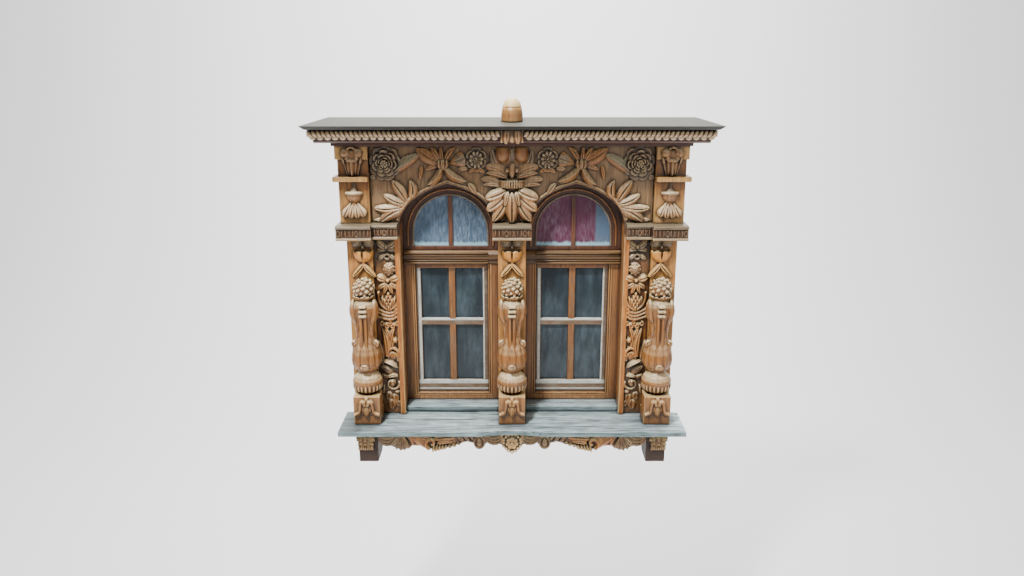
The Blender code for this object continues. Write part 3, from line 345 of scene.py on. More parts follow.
fan_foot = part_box("fan_glass_left")[0].z
fan_middle = (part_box("fan_glass_right")[0].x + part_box("fan_glass_right")[1].x) / 2
dark_pane = window_glass("drawn_glass_dark_room", "222D33", "56666F", 0.090)
cool_pane = window_glass("drawn_glass_painted_sky_reflection", "4C6074", "92A4B6", 0.012, foot=fan_foot + 0.006)
warm_pane = window_glass("drawn_glass_maroon_hanging", "5C3044", "8A7484", 0.014, "566C82",
                         fan_middle + 0.155, fan_foot + 0.006)
for node, finish in (("sash_glass_left", dark_pane), ("sash_glass_right", dark_pane),
                     ("fan_glass_left", cool_pane), ("fan_glass_right", warm_pane)):
    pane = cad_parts[node]
    pane.data.materials.clear()
    pane.data.materials.append(finish)

# Sill and step: thick bare boards, silvered blue-grey by rain, cracked along
# the grain, nailed through the top. The step's ends run on behind the strips.
silvered_board = weathered_wood("rain_silvered_board", "142024", "66888F", "D0E8EA", "4A6064", "F2FCFC",
                                grain="X", run=0.03, silvered=0.5, wear_and_highlight_amount=0.3, roughness=0.5,
                                depth=0.0030, length=22, cracks=0.49)


def weather(bm, reach, run, across):
    """Raise and sink a board's skin by a grain that runs along x."""
    for vert in bm.verts:
        spot = Vector((vert.co.x / run, vert.co.y / across, vert.co.z / across))
        vert.co.z += reach * noise.noise(spot)
        vert.co.y += reach * noise.noise(spot + Vector((7, 3, 1)))


def even_cuts(bm, axis, step):
    """Places for even cuts right across a board."""
    low = min(vert.co[axis] for vert in bm.verts)
    high = max(vert.co[axis] for vert in bm.verts)
    count = int((high - low) / step)
    return [low + (high - low) * i / count for i in range(1, count)]


# Rain stands longest at the left end, which has gone a dark green-grey.
DAMP_STARTS, DAMP_FULL = -0.72, -0.90
tree = silvered_board.node_tree
base = tree.nodes["Principled BSDF"].inputs["Base Color"]
dry = base.links[0].from_socket
place = add_node(tree, "TexCoord").outputs["Object"]
blotch = add_node(tree, "TexNoise", {"Vector": place, "Scale": 1 / 0.12, "Detail": 4.0}).outputs["Fac"]
reach = add_node(tree, "Math", {0: blotch, 1: 0.30}, operation="MULTIPLY").outputs[0]
end = add_node(tree, "Math", {0: add_node(tree, "SeparateXYZ", {0: place}).outputs["X"], 1: reach},
               operation="ADD")
damp = add_node(tree, "MapRange", {"Value": end.outputs[0], "From Min": DAMP_STARTS,
                                   "From Max": DAMP_FULL}).outputs[0]
wet = add_node(tree, "Mix", {0: 0.78, 6: dry, 7: linear("26342E")}, data_type="RGBA").outputs[2]
tree.links.new(add_node(tree, "Mix", {0: damp, 6: dry, 7: wet}, data_type="RGBA").outputs[2], base)
# The nose, the faces turned to the front, and the ends: darker, with closer streaks.
nose_grey = weathered_wood("dark_grey_sill_nose", "0E1616", "4C5E60", "7E9698", "425050", "C4D8D8",
                           grain="X", run=0.022, silvered=0.5, wear_and_highlight_amount=0.6, length=22, cracks=0.45)
for node, rough in (("sill_board", 0.0026), ("step_board", 0.0014)):
    bm = merged_copy(node)
    ease_edges(bm, 0.004, 2)
    cut_at(bm, 0, even_cuts(bm, 0, 0.050))
    cut_at(bm, 1, even_cuts(bm, 1, 0.012))
    weather(bm, rough, 0.35, 0.020)
    if node == "step_board":
        run_on, strip_edge = 0.015, 0.762
        for vert in bm.verts:
            vert.co.x += run_on * (vert.co.x > strip_edge) - run_on * (vert.co.x < -strip_edge)
    piece = show(node + "_worn", bm, silvered_board, "silvered_board", node)
    tint(piece, nose_grey, lambda x, up, normal: normal.y < -0.6 or abs(x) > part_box(node)[1].x - 0.008)

# Brackets: sawn oak blocks under the sill's ends, let into the wall.
# Sawn oak with the sill's shade painted in: matt and nearly black-brown.
dark_oak = weathered_wood("sawn_oak_painted_shade", "140A07", "21120C", "311C12", "2C231E", "4C3424", grain="Y",
                          silvered=0.3, wear_and_highlight_amount=0.5, roughness=0.7)
for word in ("left", "right"):
    # The brackets' near-black is painted shade under the sill.
    board("bracket_" + word + "_eased", "bracket_" + word, 0.004, dark_oak, "dark_oak")

# Corner blocks: limewood tablets with a ruffled leaf mask of plain foliage,
# glued and pinned on the brackets' fronts. The carving tools start here: a
# leaf, a boss and a cord that overlap are fused into one carved body.


def take_in(bm, part):
    """Add a finished part to a carving."""
    mesh = bpy.data.meshes.new("part")
    part.to_mesh(mesh)
    part.free()
    bm.from_mesh(mesh)
    bpy.data.meshes.remove(mesh)


def knob(bm, matrix, sides=16):
    """A ball squeezed and turned into its place by a matrix."""
    ball = bmesh.new()
    bmesh.ops.create_uvsphere(ball, u_segments=sides, v_segments=sides // 2, radius=1.0, matrix=matrix)
    take_in(bm, ball)


def leaf(bm, root, tip, width, out, thick, bow=0.0, lift=0.0, groove=0.4, hollow=0.0, full=0.6,
         widest=0.45, flutes=0, dish=0.0):
    """A pointed leaf from root to tip over the face: a midrib groove, and halves that may be
    dished or fluted. Points are x and height over the sill, out is the face it lies on."""
    along = Vector((tip[0] - root[0], 0.0, tip[1] - root[1]))
    across = Vector((along.z, 0.0, -along.x)).normalized()
    skew = log(0.5) / log(widest)
    blade = bmesh.new()
    bmesh.ops.create_uvsphere(blade, u_segments=28, v_segments=14, radius=1.0)
    for vert in blade.verts:
        t = min(max((vert.co.z + 1) / 2, 0.0), 1.0)
        ring = max(hypot(vert.co.x, vert.co.y), 1e-6)
        s, front = vert.co.x / ring, vert.co.y / ring
        broad = max(sin(pi * t ** skew), 0.0) ** full
        proud = 1 - groove * exp(-(s / 0.15) ** 2) - hollow * exp(-((abs(s) - 0.48) / 0.2) ** 2)
        proud -= dish * exp(-(s / 0.55) ** 2 - ((t - 0.55) / 0.30) ** 2)
        if flutes:
            proud -= 0.22 * (0.5 + 0.5 * cos(2 * pi * flutes * s))
        spot = Vector((root[0], -out, root[1])) + along * t
        spot += across * (s * broad * width / 2 + bow * sin(pi * t))
        spot.y += front * thick * broad ** 0.6 * (proud if front < 0 else 1.0) - lift * t * t
        vert.co = spot
    take_in(bm, blade)


def boss(bm, at, out, radii, sides=16):
    """A rounded knob with radii across, out and up."""
    knob(bm, Matrix.Translation((at[0], -out, at[1])) @ Matrix.Diagonal((*radii, 1)), sides)


def smooth_line(points, step):
    """Points along a smooth line through the given ones."""
    line = []
    ends = [points[0]] + list(points) + [points[-1]]
    for a, b, c, d in zip(ends, ends[1:], ends[2:], ends[3:]):
        a, b, c, d = (Vector(p) for p in (a, b, c, d))
        count = max(2, int((c - b).length / step))
        for i in range(count):
            t = i / count
            line.append(0.5 * ((2 * b) + (c - a) * t + (2 * a - 5 * b + 4 * c - d) * t * t
                               + (3 * b - a - 3 * c + d) * t ** 3))
    return line + [Vector(points[-1])]


def cord(bm, points, radii, out, proud=1.0):
    """A round moulding that follows a smooth line and swells or tapers from end to end."""
    first, last = radii
    line = smooth_line(points, min(first, last))
    rope = bmesh.new()
    bmesh.ops.create_uvsphere(rope, u_segments=10, v_segments=len(line) + 1, radius=1.0)
    for vert in rope.verts:
        share = acos(max(-1.0, min(1.0, vert.co.z))) / pi
        place = round(share * (len(line) + 1)) - 1
        radius = first + (last - first) * max(place, 0) / len(line)
        if place < 0 or place == len(line):
            end, inner = (line[0], line[1]) if place < 0 else (line[-1], line[-2])
            middle = end + (end - inner).normalized() * radius * 0.8
            vert.co = (middle.x, -out, middle.y)
            continue
        course = (line[min(place + 1, len(line) - 1)] - line[max(place - 1, 0)]).normalized()
        ring = hypot(vert.co.x, vert.co.y)
        s, front = vert.co.x / ring * radius, vert.co.y / ring * radius * proud
        vert.co = (line[place].x + s * course.y, -out + front, line[place].y - s * course.x)
    take_in(bm, rope)


def curl(bm, at, out, radius, first, turns, thick, proud=1.0):
    """A scroll: a cord that winds in from a radius; turns may be negative."""
    count = int(abs(turns) * 10) + 2
    line = []
    for i in range(count + 1):
        share = i / count
        angle = first + 2 * pi * turns * share
        reach = radius * (1 - 0.8 * share)
        line.append((at[0] + reach * cos(angle), at[1] + reach * sin(angle)))
    cord(bm, line, (thick, thick * 0.75), out, proud)


def oval(bm, at, half, out, thick, proud=1.0):
    """A closed ring with two half widths."""
    line = [(at[0] + half[0] * cos(2 * pi * i / 12),
             at[1] + half[1] * sin(2 * pi * i / 12)) for i in range(13)]
    cord(bm, line, (thick, thick), out, proud)


def fused(bm, cell, back, soften=1, keep=0.37):
    """One body from shapes that overlap, cut flat at y = back where it lies on its board.
    cell is the finest cut that is left, in metres, and keep the share of its triangles."""
    rough = bpy.data.meshes.new("rough")
    bm.to_mesh(rough)
    bm.free()
    block = bpy.data.objects.new("rough", rough)
    bpy.context.scene.collection.objects.link(block)
    joined = block.modifiers.new("joined", "REMESH")
    joined.mode = "VOXEL"
    joined.voxel_size = cell
    rubbed = block.modifiers.new("rubbed", "SMOOTH")
    rubbed.factor = 0.5
    rubbed.iterations = soften
    thinned = block.modifiers.new("thinned", "DECIMATE")
    thinned.ratio = keep
    whole = bpy.data.meshes.new_from_object(block.evaluated_get(bpy.context.evaluated_depsgraph_get()))
    carved = bmesh.new()
    carved.from_mesh(whole)
    bpy.data.objects.remove(block)
    bpy.data.meshes.remove(rough)
    bpy.data.meshes.remove(whole)
    bmesh.ops.bisect_plane(carved, geom=carved.verts[:] + carved.edges[:] + carved.faces[:], dist=1e-6,
                           plane_co=(0, back, 0), plane_no=(0, 1, 0), clear_outer=True)
    rim = [edge for edge in carved.edges if edge.is_boundary]
    bmesh.ops.triangle_fill(carved, use_beauty=True, edges=rim)
    bmesh.ops.recalc_face_normals(carved, faces=carved.faces)
    bmesh.ops.translate(carved, verts=carved.verts, vec=(0, 0, SILL_TOP))
    return carved


def pair(stem, bm, finish, slot, stands=True):
    """The right-hand piece and its mirror image on the left."""
    pieces = []
    for side, word in ((1, "right"), (-1, "left")):
        hand = bm.copy()
        if side < 0:
            bmesh.ops.scale(hand, vec=(-1, 1, 1), verts=hand.verts)
            bmesh.ops.reverse_faces(hand, faces=hand.faces)
        nodes = [stem + "_" + word] if stands else []
        pieces.append(show(stem + "_" + word + "_carved", hand, finish, slot, *nodes))
    bm.free()
    return pieces


block_low, block_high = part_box("corner_block_right")
block_x = (block_low.x + block_high.x) / 2
block_mid = (block_low.z + block_high.z) / 2 - SILL_TOP
block_face = -block_high.y + 0.008
bm = bmesh.new()
half = (block_high.x - block_low.x) / 2
tall = (block_high.z - block_low.z) / 2
add_box(bm, (block_x - half, -block_face - 0.004, block_mid), (block_x + half, -0.2, block_mid + tall))
add_box(bm, (block_x - half * 0.82, -block_face - 0.004, block_mid - tall),
        (block_x + half * 0.82, -0.2, block_mid + 0.01))
for across in (-1, 1):
    for root, tip, width in (((0.004, 0.056), (0.062, 0.050), 0.030),
                             ((0.006, 0.034), (0.064, 0.014), 0.030),
                             ((0.006, 0.012), (0.056, -0.024), 0.028),
                             ((0.004, -0.006), (0.046, -0.058), 0.028)):
        leaf(bm, (block_x + across * root[0], block_mid + root[1]),
             (block_x + across * tip[0], block_mid + tip[1]), width, block_face, 0.020, bow=across * 0.008,
             groove=0.2, dish=0.3, widest=0.62)
for i in range(7):
    share = (i - 3) / 3
    boss(bm, (block_x + share * 0.044, block_mid - 0.050 + 0.014 * share * share), block_face,
         (0.0075, 0.020, 0.014), 10)
boss(bm, (block_x, block_mid - 0.020), block_face, (0.018, 0.018, 0.012))
boss(bm, (block_x, block_mid + 0.014), block_face, (0.018, 0.020, 0.024))
# Brown oak with a gold tinge on its edges: gilt left there, with painted highlight.
block_wood = weathered_wood("gilded_brown_oak_carving", "140904", "74481E", "A46E30", "7A6442", "FFE2A0",
                            run=0.014, silvered=0.3, wear_and_highlight_amount=1.0)
pair("corner_block", fused(bm, 0.0024, block_high.y, soften=2), block_wood, "pale_carving")

# Apron: one carved board behind the sill's nose, from bracket to bracket. From
# each end a swag, a shell, an orange scroll leaf with tassels, a grey leaf, an
# oval on its swags, and the gilt rose in the middle.
# Umber oak: brown grounds with painted shade, edges bleached to straw with painted highlight.
umber_oak = weathered_wood("umber_oak_carving", "120804", "6A4424", "96683A", "74624C", "FFDFA6",
                           run=0.012, silvered=0.35, wear_and_highlight_amount=1.0)
apron_low, apron_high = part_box("apron")
apron_face = -apron_high.y + 0.018
bm = bmesh.new()
lower_edge = ((0.0, 0.200), (0.040, 0.186), (0.066, 0.154), (0.110, 0.140), (0.165, 0.128), (0.190, 0.150),
              (0.208, 0.176), (0.250, 0.176), (0.268, 0.140), (0.310, 0.128), (0.345, 0.134),
              (0.372, 0.148), (0.440, 0.158), (0.462, 0.182), (0.550, 0.190), (0.590, 0.178),
              (0.640, 0.162), (0.700, 0.156), (0.722, 0.180), (0.782, 0.190), (0.846, 0.164),
              (0.880, 0.152), (0.920, 0.138), (apron_high.x, 0.116))
rim = [(-x, -drop) for x, drop in reversed(lower_edge)] + [(x, -drop) for x, drop in lower_edge[1:]]
corners = [bm.verts.new((x, -apron_face + 0.003, up)) for x, up in rim]
corners += [bm.verts.new((side * apron_high.x, -apron_face + 0.003, -0.034)) for side in (1, -1)]
grown = bmesh.ops.extrude_face_region(bm, geom=[bm.faces.new(corners)])
bmesh.ops.translate(bm, verts=[v for v in grown["geom"] if isinstance(v, bmesh.types.BMVert)],
                    vec=(0, 0.016, 0))
bmesh.ops.recalc_face_normals(bm, faces=bm.faces)
for side in (-1, 1):
    for drop in (0.0, 0.022, 0.044):
        cord(bm, [(side * 0.940, -0.074 - drop * 0.8), (side * 0.905, -0.100 - drop),
                  (side * 0.860, -0.104 - drop), (side * 0.815, -0.076 - drop * 0.7)], (0.0095, 0.0095),
             apron_face, 1.3)
    for tip, wide in (((0.846, -0.150), 0.040), ((0.816, -0.180), 0.038), ((0.784, -0.192), 0.036),
                      ((0.754, -0.188), 0.034), ((0.726, -0.176), 0.030)):
        leaf(bm, (side * 0.764, -0.070), (side * tip[0], tip[1]), wide, apron_face, 0.026, groove=0.5,
             widest=0.70, full=0.45)
    for root, tip, wide in (((0.742, -0.060), (0.690, -0.158), 0.030),
                            ((0.722, -0.058), (0.652, -0.154), 0.030)):
        leaf(bm, (side * root[0], root[1]), (side * tip[0], tip[1]), wide, apron_face, 0.022,
             bow=side * 0.010)
    leaf(bm, (side * 0.712, -0.076), (side * 0.584, -0.176), 0.072, apron_face, 0.026, bow=side * 0.014,
         groove=0.3, full=0.5)
    leaf(bm, (side * 0.660, -0.066), (side * 0.570, -0.110), 0.060, apron_face, 0.026, full=0.5)
    curl(bm, (side * 0.566, -0.132), apron_face + 0.008, 0.046, -1.2 if side > 0 else pi + 1.2, side * 0.9,
         0.015, 1.4)
    leaf(bm, (side * 0.548, -0.100), (side * 0.392, -0.088), 0.072, apron_face, 0.030, bow=side * 0.010,
         flutes=2, full=0.5)
    leaf(bm, (side * 0.530, -0.134), (side * 0.420, -0.120), 0.040, apron_face, 0.030, bow=side * 0.008)
    for i in range(5):
        x = 0.546 - 0.021 * i
        leaf(bm, (side * x, -0.142), (side * (x + 0.012), -0.202 + 0.005 * i), 0.021, apron_face + 0.004,
             0.018, groove=0.0, widest=0.62, full=0.4)
    for x, up, radius in ((0.440, -0.158, 0.014), (0.408, -0.150, 0.013), (0.376, -0.136, 0.012)):
        curl(bm, (side * x, up), apron_face + 0.004, radius, 0.0, side * 0.9, 0.0055, 1.6)
    for root, tip, wide in (((0.392, -0.060), (0.338, -0.132), 0.036),
                            ((0.356, -0.058), (0.292, -0.130), 0.032),
                            ((0.320, -0.056), (0.268, -0.110), 0.026)):
        leaf(bm, (side * root[0], root[1]), (side * tip[0], tip[1]), wide, apron_face, 0.020,
             bow=side * 0.006)
    oval(bm, (side * 0.229, -0.128), (0.034, 0.044), apron_face + 0.004, 0.0095, 1.2)
    boss(bm, (side * 0.229, -0.128), apron_face + 0.002, (0.022, 0.022, 0.032), 20)
    for drop in (0.0, 0.022, 0.044):
        cord(bm, [(side * 0.192, -0.068 - drop * 0.8), (side * 0.150, -0.098 - drop * 0.9),
                  (side * 0.105, -0.096 - drop), (side * 0.062, -0.070 - drop)], (0.0095, 0.0095),
             apron_face, 1.3)
for i in range(16):
    turn = 2 * pi * i / 16 - pi / 2
    reach = 0.074 if i == 0 else 0.062 + 0.005 * (i % 2)
    boss(bm, (0.94 * reach * cos(turn), -0.130 + reach * sin(turn)), apron_face + 0.002,
         (0.0135, 0.018, 0.0135), 12)
for i in range(7):
    turn = 2 * pi * i / 7 + pi / 2
    leaf(bm, (0.010 * cos(turn), -0.130 + 0.010 * sin(turn)),
         (0.046 * cos(turn), -0.130 + 0.046 * sin(turn)), 0.032, apron_face + 0.008, 0.020, dish=0.5,
         groove=0.0, widest=0.6, full=0.5)
boss(bm, (0, -0.130), apron_face + 0.016, (0.012, 0.016, 0.012))
boss(bm, (0, -0.130), apron_face - 0.004, (0.060, 0.016, 0.060), 20)


def cropped(bm, up, normal):
    """Cut a carving level at a height over the sill and close it; normal 1 keeps what is below."""
    bmesh.ops.bisect_plane(bm, geom=bm.verts[:] + bm.edges[:] + bm.faces[:], dist=1e-6,
                           plane_co=(0, 0, SILL_TOP + up), plane_no=(0, 0, normal), clear_outer=True)
    bmesh.ops.triangle_fill(bm, use_beauty=True, edges=[edge for edge in bm.edges if edge.is_boundary])
    return bm


apron_carving = cropped(fused(bm, 0.0027, apron_high.y), -0.0355, 1)
apron_piece = show("apron_carved", apron_carving, umber_oak, "pale_carving", "apron")
# Oak where the oil has held: orange, with painted shade dark in the cuts.
orange_carving = weathered_wood("oiled_oak_carving", "180A02", "985420", "CC8234", "846844", "FFDC9C",
                                run=0.012, silvered=0.2, wear_and_highlight_amount=0.95)
# Limewood rubbed to honey, nearly gilt on the high parts with painted highlight.
gold_carving = weathered_wood("honey_limewood_carving", "261204", "B88040", "E4AC5C", "9C8258", "FFF2C4",
                              run=0.012, silvered=0.15, wear_and_highlight_amount=1.0)
tint(apron_piece, orange_carving, lambda x, up, normal: 0.40 < abs(x) < 0.715)
tint(apron_piece, gold_carving, lambda x, up, normal: abs(x) < 0.078
     or (0.35 < abs(x) < 0.575 and up < -0.140))

# Pilasters: planed oak boards behind the columns, oiled orange-brown and nailed
# to the wall.
# Oiled oak board: orange-brown streaks as long as a hand.
orange_board = weathered_wood("oiled_oak_board", "180A03", "6E3A14", "AA6424", "604A2C", "E6A858",
                              run=0.02, silvered=0.35, wear_and_highlight_amount=0.6)
for word in ("left", "centre", "right"):
    board("pilaster_" + word + "_eased", "pilaster_" + word, 0.004, orange_board, "carved_oak")

# Plinth blocks: solid oak cubes under the columns, each with a draped panel: two
# legs whose feet flare outwards, and a shield leaf hanging between them.


def three(stem, bm, finish, slot):
    """The same piece at each of the three columns."""
    pieces = []
    for word, middle in (("left", -1.010), ("centre", 0.0), ("right", 1.010)):
        one = bm.copy()
        bmesh.ops.translate(one, verts=one.verts, vec=(middle, 0, 0))
        pieces.append(show(stem + "_" + word + "_carved", one, finish, slot, stem + "_" + word))
    bm.free()
    return pieces


# Oak oiled once: tan faces, with brown painted shade in the cuts.
plinth_wood = weathered_wood("brown_oak_plinth", "180A04", "8A5830", "B47E44", "7C6448", "FFD898",
                             run=0.014, silvered=0.35, wear_and_highlight_amount=0.9)
plinth_low, plinth_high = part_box("plinth_centre")
plinth_face = -plinth_low.y - 0.018
half = (plinth_high.x - plinth_low.x) / 2
top = plinth_high.z - SILL_TOP
bm = bmesh.new()
add_box(bm, (-half, -plinth_face + 0.008, 0.0004), (half, plinth_high.y + 0.01, 0.090))
add_box(bm, (-half, -plinth_face - 0.004, 0.082), (half, -0.1, top - 0.004))
for side in (-1, 1):
    cord(bm, [(side * 0.010, 0.150), (side * 0.020, 0.176), (side * 0.036, 0.172), (side * 0.044, 0.130),
              (side * 0.052, 0.098), (side * 0.084, 0.080)], (0.0135, 0.0100), plinth_face + 0.012, 1.3)
    cord(bm, [(side * 0.016, 0.148), (side * 0.024, 0.130), (side * 0.026, 0.104)], (0.006, 0.005),
         plinth_face + 0.008, 1.4)
    leaf(bm, (side * 0.040, 0.092), (side * 0.086, 0.068), 0.022, plinth_face + 0.006, 0.014, groove=0.0)
leaf(bm, (0, 0.206), (0, 0.140), 0.032, plinth_face + 0.004, 0.016)
leaf(bm, (0, 0.148), (0, 0.060), 0.046, plinth_face + 0.004, 0.024, widest=0.5, groove=-0.4, full=0.7)
three("plinth", fused(bm, 0.0028, plinth_high.y), plinth_wood, "carved_oak")

# Columns: each turned and carved from one balk. From the foot: a bun with a
# ring of gadroons under a smooth dome, a ribbed lute body with a tail button,
# its neck and fingerboard between scrolls, and a seeded flower ball on top.
# Brown oak with pale ribs, worn and with painted highlight, and a faint polish.
umber_carving = weathered_wood("brown_oak_carving", "120803", "7A4820", "AE7232", "746450", "FFE8B4",
                               run=0.012, silvered=0.3, wear_and_highlight_amount=1.0, roughness=0.36)
COLUMN_FOOT = 0.2153
COLUMN_AXIS = 0.135
STAVES = 11
GADROONS = 22


def column_radius(up):
    """Radius of the turned body at a height over the column's foot."""
    points = ((0.0, 0.060), (0.014, 0.070), (0.030, 0.086), (0.060, 0.094), (0.086, 0.104), (0.098, 0.102),
              (0.122, 0.090), (0.142, 0.068), (0.156, 0.058), (0.170, 0.066), (0.188, 0.088),
              (0.214, 0.101), (0.246, 0.105), (0.290, 0.101), (0.330, 0.090), (0.370, 0.076),
              (0.420, 0.064), (0.480, 0.060), (0.530, 0.066), (0.575, 0.078), (0.620, 0.080),
              (0.648, 0.070), (0.668, 0.050), (0.676, 0.045))
    for (z0, r0), (z1, r1) in zip(points, points[1:]):
        if up <= z1:
            t = (up - z0) / (z1 - z0)
            t = t * t * (3 - 2 * t) * 0.4 + t * 0.6
            return r0 + (r1 - r0) * t
    return points[-1][1]


def turned(profile, steps):
    """A body turned on an upright axis from a profile of radius and height."""
    bm = bmesh.new()
    line = [bm.verts.new((radius, 0, up)) for radius, up in profile]
    edges = [bm.edges.new((a, b)) for a, b in zip(line, line[1:])]
    bmesh.ops.spin(bm, geom=line + edges, cent=(0, 0, 0), axis=(0, 0, 1), dvec=(0, 0, 0), angle=2 * pi,
                   steps=steps, use_merge=True)
    bmesh.ops.remove_doubles(bm, verts=bm.verts, dist=1e-5)
    bmesh.ops.recalc_face_normals(bm, faces=bm.faces)
    return bm


rings = 140
tall = 0.676
heights = [tall * i / rings for i in range(rings + 1)]
bm = turned([(0, 0)] + [(column_radius(up), up) for up in heights] + [(0, tall)], 128)
for vert in bm.verts:
    up = vert.co.z
    if 0.165 < up < 0.56 and vert.co.x ** 2 + vert.co.y ** 2 > 1e-8:
        turn = atan2(vert.co.y, vert.co.x) + pi / 2 + pi / STAVES
        depth = min((up - 0.165) / 0.04, (0.56 - up) / 0.12, 1.0)
        scale = 1 - 0.15 * depth * (1 - abs(sin(STAVES * turn / 2)) ** 0.32)
        vert.co.x *= scale
        vert.co.y *= scale
bmesh.ops.translate(bm, verts=bm.verts, vec=(0, -COLUMN_AXIS, COLUMN_FOOT))


def stud(bm, height, radius, turn, radii, sides=10):
    """A knob set on the turned body at an angle from its front."""
    x, out = radius * sin(turn), COLUMN_AXIS + radius * cos(turn)
    matrix = Matrix.Translation((x, -out, height)) @ Matrix.Rotation(turn, 4, "Z")
    knob(bm, matrix @ Matrix.Diagonal((*radii, 1)), sides)


for i in range(GADROONS):
    stud(bm, COLUMN_FOOT + 0.052, 0.088, 2 * pi * i / GADROONS, (0.0115, 0.017, 0.030))
stud(bm, COLUMN_FOOT + 0.208, 0.096, 0, (0.030, 0.018, 0.020), 16)
stud(bm, COLUMN_FOOT + 0.224, 0.102, 0, (0.020, 0.010, 0.008), 12)
board_out = COLUMN_AXIS + 0.064
for across in (-1, 1):
    cord(bm, [(across * 0.0150, COLUMN_FOOT + 0.280), (across * 0.0135, COLUMN_FOOT + 0.430),
              (across * 0.0150, COLUMN_FOOT + 0.600)], (0.0125, 0.0135), board_out, 1.3)
    leaf(bm, (across * 0.046, COLUMN_FOOT + 0.500), (across * 0.072, COLUMN_FOOT + 0.676), 0.062,
         COLUMN_AXIS + 0.014, 0.052, groove=0.0, full=0.5, bow=across * 0.010)
    leaf(bm, (across * 0.064, COLUMN_FOOT + 0.560), (across * 0.052, COLUMN_FOOT + 0.400), 0.034,
         COLUMN_AXIS + 0.020, 0.034, groove=0.2, bow=across * 0.010)
    curl(bm, (across * 0.070, COLUMN_FOOT + 0.362), COLUMN_AXIS + 0.030, 0.021, pi / 2, -across * 1.2,
         0.009, 2.2)
    boss(bm, (across * 0.070, COLUMN_FOOT + 0.362), COLUMN_AXIS + 0.020, (0.022, 0.030, 0.024))
cord(bm, [(-0.022, COLUMN_FOOT + 0.300), (0.022, COLUMN_FOOT + 0.300)], (0.005, 0.005), board_out + 0.010)
for up, wide in ((0.574, 0.022), (0.606, 0.023), (0.640, 0.021)):
    cord(bm, [(-wide, COLUMN_FOOT + up), (wide, COLUMN_FOOT + up)], (0.0115, 0.0115), board_out + 0.016,
         1.4)
ball = COLUMN_FOOT + 0.742
egg = Matrix.Translation((0, -COLUMN_AXIS, ball)) @ Matrix.Diagonal((1, 1, 1.08, 1))
bmesh.ops.create_uvsphere(bm, u_segments=32, v_segments=16, radius=0.064, matrix=egg)
seeds = 58
for i in range(seeds):
    height = 1 - 2 * (i + 0.5) / seeds
    if height < -0.5:
        continue
    turn = i * pi * (3 - sqrt(5))
    flat = sqrt(1 - height * height)
    spot = Vector((0.066 * flat * sin(turn), -COLUMN_AXIS - 0.066 * flat * cos(turn),
                   ball + 0.072 * height))
    size = (0.0155 if height > -0.1 else 0.0100) * (1 + 0.25 * sin(i * 2.4))
    away = Vector((spot.x, spot.y + COLUMN_AXIS, spot.z - ball))
    outward = away.to_track_quat("Z", "Y").to_matrix().to_4x4()
    knob(bm, Matrix.Translation(spot) @ outward @ Matrix.Diagonal((size, size * 0.72, size * 0.9, 1)), 10)
for i in range(11):
    turn = 2 * pi * i / 11
    matrix = (Matrix.Translation((0, -COLUMN_AXIS, ball - 0.056)) @ Matrix.Rotation(turn, 4, "Z")
              @ Matrix.Translation((0, -0.052, 0)) @ Matrix.Rotation(radians(-42), 4, "X"))
    knob(bm, matrix @ Matrix.Diagonal((0.019, 0.032, 0.008, 1)), 12)
pilaster_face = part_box("pilaster_centre")[0].y - 0.0003
three("column", fused(bm, 0.0026, pilaster_face, keep=0.25), umber_carving, "pale_carving")

# Capitals: carving planted on each pilaster above its column: a bright half disc
# scalloped at the top, two grey lobes with a stud over it, and a chevron below.
# Sheltered oiled oak, the brightest orange of the front.
bright_carving = weathered_wood("bright_oak_carving", "241004", "C07424", "EAA03E", "A07C48", "FFE6A8",
                                run=0.012, silvered=0.15, wear_and_highlight_amount=0.8)
# Grey-brown with pale rims: bare carving greyed by rain, and painted shade where it is put under the
# imposts, the shelves and the roof.
grey_weathered_shaded = weathered_wood("grey_weathered_and_shaded_carving", "100A06", "5A4430", "80603E", "766A5A", "FFE4B4",
                              run=0.014, silvered=0.45, wear_and_highlight_amount=1.0)
face = -pilaster_face
bm = bmesh.new()
bowl = 1.206
for side in (-1, 1):
    leaf(bm, (side * -0.006, 1.128), (side * 0.080, 1.030), 0.040, face, 0.034, groove=0.7,
         bow=side * 0.004, full=0.45)
    leaf(bm, (side * 0.001, 1.100), (side * 0.056, 1.020), 0.016, face, 0.022, groove=0.0)
    boss(bm, (side * 0.036, 1.262), face, (0.040, 0.034, 0.030), 20)
    boss(bm, (side * 0.038, 1.268), face + 0.022, (0.022, 0.018, 0.017), 16)
boss(bm, (0, 1.240), face + 0.006, (0.012, 0.024, 0.012))
boss(bm, (0, 1.132), face + 0.004, (0.011, 0.022, 0.012))
boss(bm, (0, 1.296), face, (0.036, 0.022, 0.014))
disc = bmesh.ops.create_uvsphere(bm, u_segments=48, v_segments=32, radius=1.0)
for vert in disc["verts"]:
    across, up = vert.co.x, min(vert.co.z, 0.16 * abs(sin(1.5 * pi * vert.co.x)))
    crease = 1 - 0.40 * exp(-(across / 0.07) ** 2) * max(0.0, min(1.0, 1.0 + 0.8 * up))
    vert.co = Vector((across * 0.070, -face + vert.co.y * 0.060 * crease, bowl + up * 0.074))
IMPOST_FOOT = 1.3045
capital_carving = cropped(fused(bm, 0.0024, -face), IMPOST_FOOT, 1)
for piece in three("capital", capital_carving, umber_oak, "pale_carving"):
    tint(piece, bright_carving, lambda x, up, normal: up < 1.226)
    # The lobes under the impost take the grey: painted shade.
    tint(piece, grey_weathered_shaded, lambda x, up, normal: up > 1.234)

